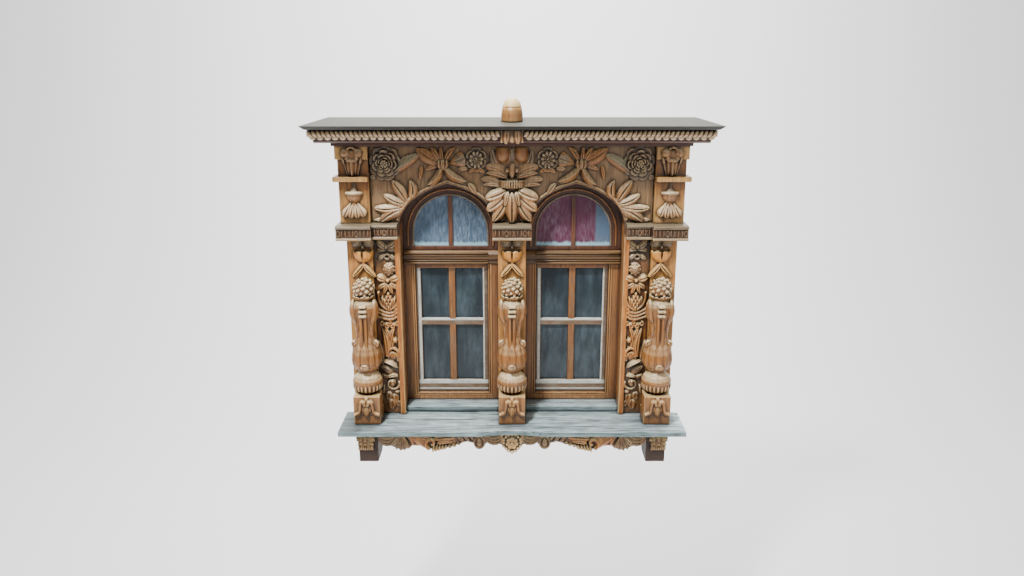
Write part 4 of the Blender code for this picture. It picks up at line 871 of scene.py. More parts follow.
# Carved strips: oak boards beside the lights. On a sunk ground, from the top:
# a leaf cluster and ring, a rosette, a bow flower, a seeded tulip in its cup,
# three swags, a row of curls, rising leaves, a knob and two hoods, a long
# slanting leaf, a bud in its calyx, and worn low leaves at the foot.
# Brown carving gone silver in patches, edges like straw with painted highlight.
silvered_brown = weathered_wood("silvered_brown_carving", "120804", "7C4E28", "B07A40", "88725A", "FFE8B8",
                                run=0.012, silvered=0.3, wear_and_highlight_amount=1.0, roughness=0.36)
strip_low, strip_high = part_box("carved_strip_right")
edge = strip_low.x + 0.034
middle = 0.855
ground = 0.028
bm = bmesh.new()
add_box(bm, (edge - 0.005, -ground, 0.0005), (strip_high.x, 0.012, IMPOST_FOOT))
add_box(bm, (strip_low.x, -0.054, 0.0005), (edge, 0.012, IMPOST_FOOT))
for side in (-1, 1):
    leaf(bm, (middle, 1.226), (middle + side * 0.066, 1.276), 0.048, ground, 0.034, bow=side * 0.010)
    leaf(bm, (middle, 1.214), (middle + side * 0.070, 1.204), 0.040, ground, 0.030, bow=-side * 0.006)
    leaf(bm, (middle + side * 0.016, 1.178), (middle + side * 0.064, 1.140), 0.036, ground, 0.026)
    leaf(bm, (middle + side * 0.004, 0.992), (middle + side * 0.078, 1.020), 0.060, ground, 0.040, full=0.5,
         widest=0.62, groove=0.35)
    leaf(bm, (middle + side * 0.008, 0.980), (middle + side * 0.070, 0.936), 0.044, ground, 0.034)
    leaf(bm, (middle + side * 0.006, 0.976), (middle + side * 0.030, 0.896), 0.040, ground, 0.034)
    cord(bm, [(middle + side * 0.070, 0.912), (middle + side * 0.066, 0.862),
              (middle + side * 0.044, 0.812), (middle + side * 0.004, 0.784)], (0.008, 0.012),
         ground + 0.012, 1.7)
    leaf(bm, (middle + side * 0.046, 0.880), (middle + side * 0.020, 0.796), 0.026, ground + 0.004, 0.028)
    for up, wide, reach in ((0.762, 0.082, 0.034), (0.738, 0.084, 0.030), (0.714, 0.078, 0.024)):
        cord(bm, [(middle + side * min(wide, 0.078 if side > 0 else 0.052), up + reach),
                  (middle + side * 0.034, up + 0.008), (middle - side * 0.001, up)], (0.0095, 0.0115),
             ground + 0.014, 1.4)
    leaf(bm, (middle + side * 0.004, 0.560), (middle + side * 0.036, 0.664), 0.036, ground, 0.034,
         bow=-side * 0.008)
boss(bm, (middle, 1.232), ground + 0.004, (0.014, 0.030, 0.014))
oval(bm, (middle, 1.164), (0.016, 0.016), ground + 0.012, 0.008, 1.6)
boss(bm, (middle - 0.012, 1.078), ground, (0.040, 0.034, 0.042), 24)
for count, reach, size, proud in ((9, 0.036, 0.026, 0.018), (7, 0.024, 0.022, 0.026),
                                  (5, 0.013, 0.016, 0.032)):
    for i in range(count):
        turn = 2 * pi * i / count + count
        root = (middle - 0.012 + 0.3 * reach * cos(turn), 1.078 + 0.3 * reach * sin(turn))
        tip = (middle - 0.012 + 1.2 * reach * cos(turn), 1.078 + 1.2 * reach * sin(turn))
        leaf(bm, root, tip, size, ground + proud, 0.014, dish=0.5, groove=0.0, full=0.5)
boss(bm, (middle, 0.996), ground + 0.020, (0.013, 0.022, 0.013))
for row, count in enumerate((1, 2, 3, 2, 1)):
    for i in range(count):
        x = middle + (i - (count - 1) / 2) * 0.024
        leaf(bm, (x, 0.916 - 0.024 * row), (x, 0.872 - 0.024 * row), 0.024, ground + 0.010, 0.030,
             groove=0.0, full=0.5)
for x, up, radius, turns in ((-0.046, 0.682, 0.016, 1.0), (-0.018, 0.664, 0.018, 1.1),
                             (0.016, 0.664, 0.018, -1.1), (0.048, 0.684, 0.018, -1.0),
                             (0.000, 0.694, 0.014, 0.9)):
    curl(bm, (middle + x, up), ground + 0.012, radius, pi / 2, turns, 0.0075, 1.8)
boss(bm, (middle, 0.676), ground, (0.054, 0.018, 0.026))
leaf(bm, (middle + 0.030, 0.430), (middle + 0.052, 0.648), 0.060, ground, 0.040, bow=-0.018, groove=0.3)
leaf(bm, (middle + 0.006, 0.470), (middle - 0.012, 0.640), 0.040, ground, 0.034, bow=-0.010)
leaf(bm, (middle + 0.058, 0.380), (middle + 0.084, 0.560), 0.036, ground, 0.032, bow=-0.010)
boss(bm, (middle - 0.034, 0.560), ground, (0.021, 0.040, 0.021), 20)
boss(bm, (middle - 0.016, 0.528), ground, (0.016, 0.026, 0.014))
for up, wide, size in ((0.474, 0.042, 0.016), (0.440, 0.034, 0.013)):
    x = middle - 0.014
    cord(bm, [(x - wide, up - 0.030), (x - wide * 0.8, up + 0.008), (x, up + 0.030),
              (x + wide * 0.8, up + 0.008), (x + wide, up - 0.030)], (size * 0.8, size * 0.8),
         ground + 0.012, 1.6)
boss(bm, (middle - 0.014, 0.440), ground, (0.034, 0.026, 0.040), 20)
leaf(bm, (middle + 0.058, 0.414), (middle - 0.052, 0.352), 0.044, ground, 0.044, groove=-0.4, bow=0.010)
leaf(bm, (middle + 0.070, 0.366), (middle - 0.010, 0.306), 0.062, ground, 0.030, full=0.5, groove=0.1)
leaf(bm, (middle + 0.074, 0.300), (middle + 0.004, 0.276), 0.036, ground, 0.024, groove=0.1)
curl(bm, (middle - 0.006, 0.236), ground + 0.016, 0.050, pi * 0.9, 1.15, 0.0095, 1.6)
leaf(bm, (middle + 0.036, 0.282), (middle - 0.050, 0.288), 0.036, ground, 0.034, bow=0.012)
boss(bm, (middle - 0.004, 0.240), ground + 0.006, (0.022, 0.036, 0.030), 20)
boss(bm, (middle - 0.004, 0.256), ground + 0.022, (0.013, 0.022, 0.014))
leaf(bm, (middle + 0.056, 0.226), (middle + 0.066, 0.154), 0.022, ground, 0.024)
boss(bm, (middle - 0.034, 0.172), ground, (0.024, 0.026, 0.018))
for x, up, wide in ((0.026, 0.136, 0.052), (-0.020, 0.120, 0.056), (0.006, 0.070, 0.066),
                    (-0.034, 0.078, 0.040)):
    leaf(bm, (middle + x, up + wide * 0.6), (middle + x * 1.3, up - wide * 0.6), wide, ground, 0.016,
         dish=0.4, full=0.45)
strip_carving = fused(bm, 0.0026, strip_high.y, keep=0.29)
for piece in pair("carved_strip", strip_carving, umber_oak, "carved_oak"):
    tint(piece, orange_carving, lambda x, up, normal: 0.44 < up < 1.03 or abs(x) < edge)
    # Grey on a slanting leaf, and on the strips' tops under the imposts as painted shade.
    tint(piece, grey_weathered_shaded, lambda x, up, normal: abs(x) > edge + 0.004
         and (0.335 < up < 0.405 or up > 1.13))
    tint(piece, silvered_brown, lambda x, up, normal: abs(x) > edge + 0.004
         and (1.03 < up < 1.13 or up < 0.30))

# Imposts: moulded oak blocks, a dark silvered slab above and a bleached lip below,
# the sunk band between cut with upright ovals and, every fifth, a ring or a cross.
# The sunk band: dull brown oak.
reed_brown = weathered_wood("brown_reeded_oak", "120905", "50341E", "704A2A", "5E5242", "C8A476",
                            run=0.010, silvered=0.4, wear_and_highlight_amount=0.7)
# The slab, where rain stands: dark with silver streaks.
dark_slab = weathered_wood("dark_silvered_slab", "14100C", "443A2E", "5E5240", "6A6256", "C0AC88",
                           grain="X", run=0.014, silvered=0.6, wear_and_highlight_amount=0.5)
# The lip, rubbed and bleached.
pale_lip = weathered_wood("bleached_oak_lip", "2E2012", "846646", "AC8A5C", "8A7E6A", "F0DAAC",
                          grain="X", run=0.014, silvered=0.4, wear_and_highlight_amount=0.95)
BAND_LOW, BAND_HIGH = 1.3215, 1.379
IMPOST_TOP = 1.4053


def impost_block(bm, x0, x1, out):
    """Lip, sunk band and slab, run between two x."""
    profile = ((0.0, 1.3053), (out, 1.3053), (out + 0.002, 1.313), (out, 1.3205), (out - 0.012, BAND_LOW),
               (out - 0.014, BAND_HIGH), (out + 0.003, 1.384), (out + 0.006, 1.394), (out - 0.008, 1.4047),
               (0.0, 1.4047))
    ring = [bm.verts.new((x0, -y, z)) for y, z in profile]
    grown = bmesh.ops.extrude_face_region(bm, geom=[bm.faces.new(ring)])
    far = [v for v in grown["geom"] if isinstance(v, bmesh.types.BMVert)]
    bmesh.ops.translate(bm, verts=far, vec=(x1 - x0, 0, 0))


def reeds(bm, x0, x1, out):
    """Upright ovals along a band, every fifth one a ring or a cross."""
    count = max(3, round((x1 - x0) / 0.0235))
    mid = (BAND_LOW + BAND_HIGH) / 2
    for i in range(count):
        x = x0 + (x1 - x0) * (i + 0.5) / count
        if i % 5 == 3:
            oval(bm, (x, mid), (0.0105, 0.0200), out - 0.013, 0.0046, 1.7)
        elif i % 5 == 0 and i:
            for lean in (-1, 1):
                cord(bm, [(x - lean * 0.009, mid - 0.022), (x + lean * 0.009, mid + 0.022)],
                     (0.0042, 0.0042), out - 0.013, 1.7)
        else:
            boss(bm, (x, mid), out - 0.014, (0.0085, 0.010, 0.0265), 12)


for stem, blocks in (("impost", ((0.934, 1.168, 0.195), (0.765, 0.940, 0.150))),
                     ("impost_centre", ((-0.129, 0.129, 0.185),))):
    bm = bmesh.new()
    for x0, x1, out in blocks:
        impost_block(bm, x0, x1, out)
    bmesh.ops.recalc_face_normals(bm, faces=bm.faces)
    for x0, x1, out in blocks:
        reeds(bm, x0 + 0.008, min(x1, 0.934 if x0 < 0.9 and x1 > 0.5 else x1) - 0.006, out)
    carving = fused(bm, 0.0023, 0.0, keep=0.26)
    if stem == "impost":
        pieces = pair(stem, carving, reed_brown, "grey_brown_board")
    else:
        pieces = [show(stem + "_carved", carving, reed_brown, "grey_brown_board", stem)]
    for piece in pieces:
        tint(piece, dark_slab, lambda x, up, normal: up > 1.3805)
        tint(piece, pale_lip, lambda x, up, normal: up < 1.3208 or 1.3805 < up < 1.3875)

# Upper posts: oak posts with a thicker head and a shelf moulding, worked in one
# and oiled, standing on the imposts at both ends of the head board.
# Oiled oak in broad orange-brown streaks.
post_wood = weathered_wood("oiled_oak_post", "1C0E04", "7C4C1E", "AC7030", "70583A", "F0BE74",
                           run=0.024, silvered=0.4, wear_and_highlight_amount=0.7)
for word in ("left", "right"):
    board("upper_post_" + word + "_eased", "upper_post_" + word, 0.004, post_wood, "grey_brown_board")

# Tulip drops: limewood, on the posts' heads. Two round lobes under a hollow
# horseshoe ring, then a lipped cup whose flutes taper down to the shelf.
post_x = 1.048
post_face = 0.0903
head_face = 0.1043
bm = bmesh.new()
cord(bm, [(post_x - 0.024, 1.872), (post_x - 0.026, 1.896), (post_x, 1.911), (post_x + 0.026, 1.896),
          (post_x + 0.024, 1.872)], (0.0085, 0.0085), head_face + 0.016, 1.5)
for side in (-1, 1):
    boss(bm, (post_x + side * 0.040, 1.874), head_face, (0.034, 0.036, 0.032), 20)
    boss(bm, (post_x + side * 0.030, 1.840), head_face, (0.020, 0.030, 0.018))
    leaf(bm, (post_x + side * 0.062, 1.850), (post_x + side * 0.050, 1.798), 0.022, post_face + 0.004,
         0.030)
    leaf(bm, (post_x + side * 0.026, 1.834), (post_x + side * 0.019, 1.716), 0.028, post_face + 0.006,
         0.030, widest=0.3, groove=0.1)
    cord(bm, [(post_x + side * 0.050, 1.806), (post_x + side * 0.040, 1.762),
              (post_x + side * 0.032, 1.727)], (0.0075, 0.0055), post_face + 0.010, 1.5)
boss(bm, (post_x, 1.826), head_face + 0.012, (0.040, 0.028, 0.013), 20)
boss(bm, (post_x, 1.860), head_face, (0.050, 0.024, 0.040), 24)
leaf(bm, (post_x, 1.846), (post_x, 1.700), 0.110, post_face, 0.026, widest=0.25, full=0.5, groove=0.0)
leaf(bm, (post_x, 1.836), (post_x, 1.712), 0.036, post_face + 0.016, 0.032, widest=0.3, full=0.4,
     groove=-0.1)
boss(bm, (post_x, 1.868), head_face, (0.013, 0.020, 0.016))
tulip = cropped(fused(bm, 0.0024, -post_face), 1.9185, 1)
pair("tulip_drop", tulip, silvered_brown, "pale_carving")

# Bell drops: turned and halved limewood below each shelf: a spike, a rimmed
# bowl, and a skirt of four long petals that spread from under it.
profile = ((0.0, 1.692), (0.008, 1.688), (0.013, 1.662), (0.018, 1.634), (0.024, 1.620), (0.056, 1.618),
           (0.062, 1.609), (0.057, 1.600), (0.049, 1.594), (0.048, 1.578), (0.038, 1.560), (0.022, 1.548),
           (0.016, 1.536), (0.013, 1.520), (0.0, 1.518))
bm = turned(profile, 40)
bmesh.ops.scale(bm, vec=(1, 0.85, 1), verts=bm.verts)
bmesh.ops.translate(bm, verts=bm.verts, vec=(post_x, -post_face, 0))
for lean, drop in ((-2, 0.010), (-0.7, 0.0), (0.7, 0.0), (2, 0.010)):
    leaf(bm, (post_x + lean * 0.006, 1.566), (post_x + lean * 0.034, 1.442 + drop), 0.060,
         post_face + 0.002, 0.030, lift=0.016, groove=0.40, widest=0.78, full=0.55)
boss(bm, (post_x, 1.454), post_face + 0.012, (0.013, 0.014, 0.010))
for piece in pair("bell_drop", fused(bm, 0.0024, -post_face), silvered_brown, "pale_carving"):
    # The bell's top under the shelf takes the grey: painted shade.
    tint(piece, grey_weathered_shaded, lambda x, up, normal: up > 1.604)

# Head board: one broad board with two pointed arches sawn in it, brown-grey
# with weather, the carving planted on it piece by piece.
# Brown gone grey, with long upright cracks.
spandrel_board = weathered_wood("weathered_head_board", "1A110A", "664930", "967046", "76644E", "DCB27C",
                                grain="Z", run=0.024, silvered=0.5, wear_and_highlight_amount=0.5)
board("spandrel_board_eased", "spandrel_board", 0.005, spandrel_board, "grey_brown_board")

# Arch rolls: a thin roll of umber oak that follows each arch's edge on the board
# and dies into the imposts.
ARCH_MIDDLE, ARCH_HALF = 0.430, 0.335
BOARD_FACE = 0.0503


def arch_point(share, grown=0.0):
    """A point on the right-hand arch, share -1 at its left foot and 1 at its right."""
    u = abs(share)
    rise = 0.255 * sqrt(max(0.0, 1 - u * u)) + 0.041 * (1 - u) ** 2
    return ARCH_MIDDLE + (ARCH_HALF + grown) * share, 1.370 + rise * (1 + grown / 0.28)


bm = bmesh.new()
run_of_roll = [arch_point(sin(pi / 2 * i / 24), 0.016) for i in range(-23, 24)]
cord(bm, [point for point in run_of_roll if 1.412 < point[1]], (0.0085, 0.0085), BOARD_FACE + 0.002, 1.2)
pair("arch_roll", fused(bm, 0.0024, -BOARD_FACE, keep=0.3), umber_oak, "carved_oak", stands=False)

# Fanlight beads: two rolls bent round each fanlight on the arched head, softwood,
# the inner one with traces of white paint.
low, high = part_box("fan_glass_right")
FAN_FACE = -0.1302
middle, radius = (low.x + high.x) / 2, (high.x - low.x) / 2
spring = high.z - SILL_TOP - radius
for name, grown, thick, finish in (("fan_bead_inner", 0.006, 0.0065, sash_grey),
                                   ("fan_bead_outer", 0.042, 0.0080, frame_brown)):
    reach = radius + grown
    line = [(middle - reach, low.z - SILL_TOP + 0.004)]
    line += [(middle - reach * cos(pi * i / 16), spring + reach * sin(pi * i / 16)) for i in range(17)]
    line += [(middle + reach, low.z - SILL_TOP + 0.004)]
    bm = bmesh.new()
    cord(bm, line, (thick, thick), FAN_FACE + 0.002, 1.2)
    pair(name, fused(bm, 0.0024, -FAN_FACE, keep=0.25), finish, "frame_paint", stands=False)

# Peonies: four rows of cupped petals round a heart of beads, with one long
# two-toned leaf that points at the lily.
# The long leaf's upper half: paler and green-grey.
grey_green = weathered_wood("grey_green_upper_leaf", "141008", "665C44", "88805E", "7E7E70", "F0E2B8",
                            run=0.012, silvered=0.45, wear_and_highlight_amount=0.9)
# Oiled red-brown leaves with bright rims of wear and painted highlight.
brown_leaf = weathered_wood("red_brown_oiled_leaf", "160903", "78481E", "AA6E32", "745E42", "FFCC8C",
                            run=0.012, silvered=0.25, wear_and_highlight_amount=0.9)
bm = bmesh.new()
centre = Vector((0.841, 1.802))
for count, radius, wide, out, lift, start in ((9, 0.106, 0.078, 0.000, 0.012, 0.2),
                                              (7, 0.080, 0.062, 0.012, 0.018, 0.6),
                                              (6, 0.056, 0.048, 0.022, 0.020, 0.1),
                                              (5, 0.038, 0.036, 0.030, 0.020, 0.5)):
    for i in range(count):
        turn = start + 2 * pi * i / count
        arm = Vector((cos(turn), sin(turn) * 1.1))
        leaf(bm, centre + arm * radius * 0.25, centre + arm * radius, wide, BOARD_FACE + out, 0.016,
             lift=lift, groove=0.0, dish=0.6, full=0.42, widest=0.62)
for i in range(13):
    turn = i * pi * (3 - sqrt(5))
    arm = Vector((cos(turn), sin(turn))) * (0.019 if i > 2 else 0.006)
    boss(bm, centre + arm, BOARD_FACE + 0.054, (0.0075, 0.010, 0.0075), 10)
boss(bm, centre, BOARD_FACE, (0.044, 0.036, 0.048), 20)
leaf(bm, (0.788, 1.740), (0.606, 1.862), 0.080, BOARD_FACE, 0.026, groove=-0.5, bow=0.010, full=0.55)
leaf(bm, (0.900, 1.716), (0.956, 1.704), 0.040, BOARD_FACE, 0.016)


def leaf_side(x, up):
    """How far a point lies above the long leaf's midrib; far from the leaf it is nothing."""
    return up - 1.744 - (0.782 - abs(x)) * 0.66 if abs(x) < 0.752 else None


for piece in pair("peony", fused(bm, 0.0024, -BOARD_FACE), grey_weathered_shaded, "carved_oak"):
    tint(piece, grey_green, lambda x, up, normal: (leaf_side(x, up) or 0) > 0)
    tint(piece, brown_leaf, lambda x, up, normal: (leaf_side(x, up) or 0) < 0)

# Corner sprays: five long leaves off one stem along the arch's shoulder, cut in
# silvered brown wood and pinned to the head board.
bm = bmesh.new()
cord(bm, [(0.752, 1.470), (0.726, 1.510), (0.694, 1.552), (0.662, 1.590)], (0.009, 0.012),
     BOARD_FACE + 0.010, 1.6)
for root, tip, width, bow in (((0.738, 1.496), (0.886, 1.408), 0.080, -0.010),
                              ((0.726, 1.510), (0.924, 1.502), 0.068, 0.012),
                              ((0.712, 1.526), (0.856, 1.594), 0.062, 0.010),
                              ((0.700, 1.544), (0.800, 1.692), 0.066, -0.004),
                              ((0.676, 1.560), (0.676, 1.690), 0.060, -0.018)):
    leaf(bm, root, tip, width * 1.12, BOARD_FACE, 0.038, bow=bow, lift=0.006, groove=0.45, hollow=0.10,
         full=0.5)
leaf(bm, (0.800, 1.424), (0.930, 1.420), 0.040, BOARD_FACE, 0.020)
pair("corner_spray", cropped(fused(bm, 0.0024, -BOARD_FACE), IMPOST_TOP, -1), silvered_brown,
     "pale_carving")

# Lilies: a tied bell of three lobes, two bright tusks hanging below it, brown
# pointed petals that fan out above and a fluted trumpet on the inner side.
bm = bmesh.new()
flower = Vector((0.457, 1.792))
for tip, width, bow, thick in (((0.177, 0.108), 0.094, 0.008, 0.030), ((0.078, 0.124), 0.044, 0.000, 0.030),
                               ((0.014, 0.124), 0.038, 0.000, 0.030),
                               ((-0.092, 0.124), 0.044, 0.012, 0.030),
                               ((0.118, -0.034), 0.044, -0.006, 0.018)):
    leaf(bm, flower + Vector(tip) * 0.12, flower + Vector(tip), width, BOARD_FACE, thick, bow=bow,
         groove=0.45, hollow=0.05)
leaf(bm, flower + Vector((-0.012, -0.004)), flower + Vector((-0.152, 0.044)), 0.104, BOARD_FACE, 0.030,
     flutes=3, groove=0.2, widest=0.80, full=0.45)
leaf(bm, flower + Vector((-0.100, -0.030)), flower + Vector((-0.168, -0.022)), 0.040, BOARD_FACE, 0.020)
for side, far, fall in ((-1, 0.156, -0.112), (1, 0.105, -0.135)):
    leaf(bm, flower + Vector((side * 0.002, -0.012)), flower + Vector((side * far, fall)), 0.052,
         BOARD_FACE + 0.006, 0.040, bow=side * 0.018, groove=-0.2, widest=0.42)
    leaf(bm, flower + Vector((side * 0.002, -0.040)), flower + Vector((side * far * 0.9, fall - 0.012)),
         0.020, BOARD_FACE, 0.026, bow=side * 0.018, groove=0.0)
    leaf(bm, flower + Vector((side * 0.024, 0.034)), flower + Vector((side * 0.012, -0.036)), 0.028,
         BOARD_FACE + 0.014, 0.028, bow=-side * 0.006, groove=0.0)
leaf(bm, flower + Vector((0, 0.040)), flower + Vector((0, -0.034)), 0.034, BOARD_FACE + 0.018, 0.032,
     groove=0.25)
leaf(bm, (0.290, 1.672), (0.233, 1.594), 0.048, BOARD_FACE, 0.026, groove=0.5)
leaf(bm, (0.596, 1.786), (0.612, 1.690), 0.036, BOARD_FACE, 0.020)


def tusk(x, up):
    """Whether a point lies on the two bright petals or the bell they hang from."""
    away = abs(x) - flower.x
    petals = 1.650 < up < 1.802 - abs(away) * 0.42 and -0.165 < away < 0.112
    return petals or hypot(away, up - 1.794) < 0.046


for piece in pair("lily", fused(bm, 0.0024, -BOARD_FACE), brown_leaf, "pale_carving"):
    tint(piece, silvered_brown, lambda x, up, normal: tusk(x, up) or (abs(x) < 0.40 and up < 1.80))
    tint(piece, grey_weathered_shaded, lambda x, up, normal: abs(x) < 0.375 and 1.80 < up < 1.86)

# Small roses: a row of cupped petals and a ring of small points round a prickly
# seed heart, two leaves at the foot.
bm = bmesh.new()
rose = Vector((0.236, 1.827))
for count, radius, wide, out, dish in ((6, 0.068, 0.064, 0.000, 0.55), (10, 0.046, 0.024, 0.016, 0.0)):
    for i in range(count):
        turn = pi / 6 + 2 * pi * i / count
        arm = Vector((cos(turn), sin(turn) * 1.22))
        leaf(bm, rose + arm * radius * 0.3, rose + arm * radius, wide, BOARD_FACE + out, 0.016, lift=0.010,
             groove=0.0, dish=dish, full=0.45, widest=0.6)
for i in range(30):
    turn = i * pi * (3 - sqrt(5))
    arm = Vector((cos(turn), sin(turn) * 1.1)) * 0.0054 * sqrt(i)
    boss(bm, rose + arm, BOARD_FACE + 0.034 - 0.0006 * i, (0.0042, 0.010, 0.0042), 6)
boss(bm, rose, BOARD_FACE, (0.034, 0.028, 0.038), 16)
for side in (-1, 1):
    leaf(bm, rose + Vector((0, -0.050)), rose + Vector((side * 0.056, -0.088)), 0.034, BOARD_FACE, 0.022)
for piece in pair("small_rose", fused(bm, 0.0022, -BOARD_FACE), grey_weathered_shaded, "pale_carving"):
    tint(piece, brown_leaf, lambda x, up, normal: up < 1.768)

# Cartouche: the middle carving. At the top a great flower with two round side
# petals, two tiers of wings, a bud with two beads, a ribbed collar, and under
# it a palmette of fat leaves over a striated fan that stands on the impost.
bm = bmesh.new()
for side in (-1, 1):
    boss(bm, (side * 0.060, 1.868), BOARD_FACE, (0.050, 0.052, 0.066), 28)
    leaf(bm, (side * 0.080, 1.768), (side * 0.132, 1.890), 0.064, BOARD_FACE, 0.024, bow=side * 0.016)
    leaf(bm, (side * 0.004, 1.818), (side * 0.016, 1.926), 0.034, BOARD_FACE, 0.028, bow=side * 0.004)
    leaf(bm, (side * 0.017, 1.712), (side * 0.180, 1.786), 0.090, BOARD_FACE, 0.036, bow=-side * 0.012,
         groove=0.3, hollow=0.2)
    leaf(bm, (side * 0.026, 1.700), (side * 0.172, 1.738), 0.042, BOARD_FACE + 0.012, 0.028,
         bow=-side * 0.012)
    leaf(bm, (side * 0.066, 1.662), (side * 0.208, 1.698), 0.066, BOARD_FACE, 0.036, bow=-side * 0.012,
         groove=0.3, hollow=0.2, full=0.55)
    leaf(bm, (side * 0.074, 1.650), (side * 0.190, 1.662), 0.034, BOARD_FACE + 0.012, 0.026,
         bow=-side * 0.008)
    for root, tip, width in (((0.040, 1.622), (0.176, 1.568), 0.096),
                             ((0.042, 1.590), (0.166, 1.488), 0.096),
                             ((0.040, 1.550), (0.128, 1.414), 0.086)):
        leaf(bm, (side * root[0], root[1]), (side * tip[0], tip[1]), width, BOARD_FACE + 0.014, 0.040,
             bow=side * 0.008, lift=0.010, groove=0.40, hollow=0.06, full=0.5)
    leaf(bm, (side * 0.026, 1.618), (side * 0.048, 1.520), 0.040, BOARD_FACE + 0.030, 0.036, lift=0.010,
         full=0.55)
    leaf(bm, (side * 0.022, 1.560), (side * 0.084, 1.404), 0.094, BOARD_FACE, 0.036, flutes=4, groove=0.1)
    boss(bm, (side * 0.030, 1.756), BOARD_FACE + 0.030, (0.014, 0.022, 0.014))
leaf(bm, (0, 1.616), (0, 1.400), 0.086, BOARD_FACE + 0.034, 0.042, lift=0.012, groove=0.35, full=0.6,
     widest=0.55)
leaf(bm, (0, 1.690), (0, 1.925), 0.180, BOARD_FACE, 0.018, groove=0.0, full=0.5)
leaf(bm, (0, 1.802), (0, 1.706), 0.046, BOARD_FACE + 0.024, 0.040, groove=0.1, full=0.5)
boss(bm, (0, 1.868), BOARD_FACE + 0.004, (0.024, 0.032, 0.030), 20)
boss(bm, (0, 1.664), BOARD_FACE, (0.080, 0.066, 0.036), 28)
ribs = 15
for i in range(ribs):
    turn = pi * ((i + 0.5) / ribs - 0.5)
    boss(bm, (0.079 * sin(turn), 1.668), BOARD_FACE + 0.062 * cos(turn), (0.0068, 0.014, 0.029), 8)
SOFFIT_FOOT = 1.9187
cartouche = cropped(cropped(fused(bm, 0.0026, -BOARD_FACE), IMPOST_TOP, -1), SOFFIT_FOOT, 1)
piece = show("cartouche_carved", cartouche, silvered_brown, "carved_oak", "cartouche")
# The round side petals take the red-brown, and so do the wings' downward faces: painted shade under them.
tint(piece, brown_leaf, lambda x, up, normal: hypot(abs(x) - 0.060, (up - 1.868) * 0.75) < 0.048
     or (up > 1.69 and normal.z < -0.25 and abs(x) > 0.04))
tint(piece, grey_weathered_shaded, lambda x, up, normal: up > 1.80 and (abs(x) < 0.014 or abs(x) > 0.108))

# Cornice: a bed mould and a soffit board under a deep fascia, red-brown softwood
# with the roof's shade painted in dark.
# Never rained on, and with the roof's shade painted in: matt dark red-brown, hardly bleached.
soffit_brown = weathered_wood("dark_red_brown_soffit", "1A0C08", "45231A", "5C3324", "4A3A32", "6E4B36",
                              grain="X", run=0.016, silvered=0.3, wear_and_highlight_amount=0.4)
board("cornice_board_eased", "cornice_board", 0.004, soffit_brown, "dark_oak")

# Valance: sawn from one strip each side of the keystone. A roll of slanting
# overlapped strokes over a plain fillet, and a row of pale scallops below.
# Tan limewood, its strokes bleached on the crests, with painted highlight there.
tan_carving = weathered_wood("tan_limewood_carving", "1C0E06", "A06E42", "D4A268", "A48C6C", "FFE8BE",
                             grain="X", run=0.010, silvered=0.25, wear_and_highlight_amount=1.0)
val_low, val_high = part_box("valance_right")
back = -val_high.y
bm = bmesh.new()
top = val_high.z - SILL_TOP
tip = val_low.z - SILL_TOP
add_box(bm, (val_low.x, -back - 0.010, tip + 0.022), (val_high.x, -back, top - 0.004))
pitch = 0.047
count = int((val_high.x - val_low.x - 0.012) / pitch)
start = (val_low.x + val_high.x - (count - 1) * pitch) / 2
for i in range(count):
    boss(bm, (start + i * pitch, tip + 0.021), back + 0.004, (0.0222, 0.012, 0.0205), 14)
strokes = int((val_high.x - val_low.x - 0.034) / 0.029)
for i in range(strokes + 1):
    x = val_low.x + 0.017 + i * 0.029
    leaf(bm, (x - 0.014, top - 0.046), (x + 0.014, top - 0.006), 0.026, back + 0.004, 0.030, groove=0.25,
         full=0.4, widest=0.55, bow=0.003)
cord(bm, [(val_low.x + 0.006, tip + 0.040), (val_high.x - 0.006, tip + 0.040)], (0.004, 0.004),
     back + 0.012)
# The scallops' tips, washed almost white.
bleached_scallop = weathered_wood("bleached_scallop", "3A2816", "B89268", "E0BC92", "A8947A", "FFF2D8",
                                  grain="X", run=0.010, silvered=0.3, wear_and_highlight_amount=0.9)
for piece in pair("valance", fused(bm, 0.0026, val_high.y, keep=0.28), tan_carving, "pale_carving"):
    tint(piece, bleached_scallop, lambda x, up, normal: up < tip + 0.036)

# Keystone: a limewood tablet over the middle with two drooping tongues, fillets
# at its edges and a short tongue between.
key_low, key_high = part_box("keystone")
key_back = -key_high.y
key_top, key_tip = key_high.z - SILL_TOP, key_low.z - SILL_TOP + 0.004
bm = bmesh.new()
add_box(bm, (key_low.x, -key_back - 0.012, key_tip + 0.020), (key_high.x, -key_back, key_top))
for side in (-1, 1):
    leaf(bm, (side * 0.030, key_top + 0.004), (side * 0.038, key_tip - 0.002), 0.050, key_back + 0.008,
         0.022, groove=0.35, full=0.5)
    cord(bm, [(side * 0.065, key_top - 0.006), (side * 0.064, key_tip + 0.010)], (0.006, 0.006),
         key_back + 0.012)
leaf(bm, (0, key_top - 0.024), (0, key_tip + 0.004), 0.034, key_back + 0.008, 0.018, groove=0.1, widest=0.7,
     full=0.6)
keystone = cropped(fused(bm, 0.0024, key_high.y), key_top, 1)
show("keystone_carved", keystone, silvered_brown, "pale_carving", "keystone")

# Roof: a low boarded hood with a grey weathered coat, nailed over the cornice; its sides and
# underside are nearly black, a dark coat on the drip edge together with painted shade.
# An old grey coat: even and matt, faintly streaked.
roof_grey = weathered_wood("grey_coated_roof_board", "141410", "2A291F", "3A3829", "3A382C", "54523F",
                           grain="X", run=0.05, silvered=0.5, wear_and_highlight_amount=0.1, roughness=0.55, length=30)
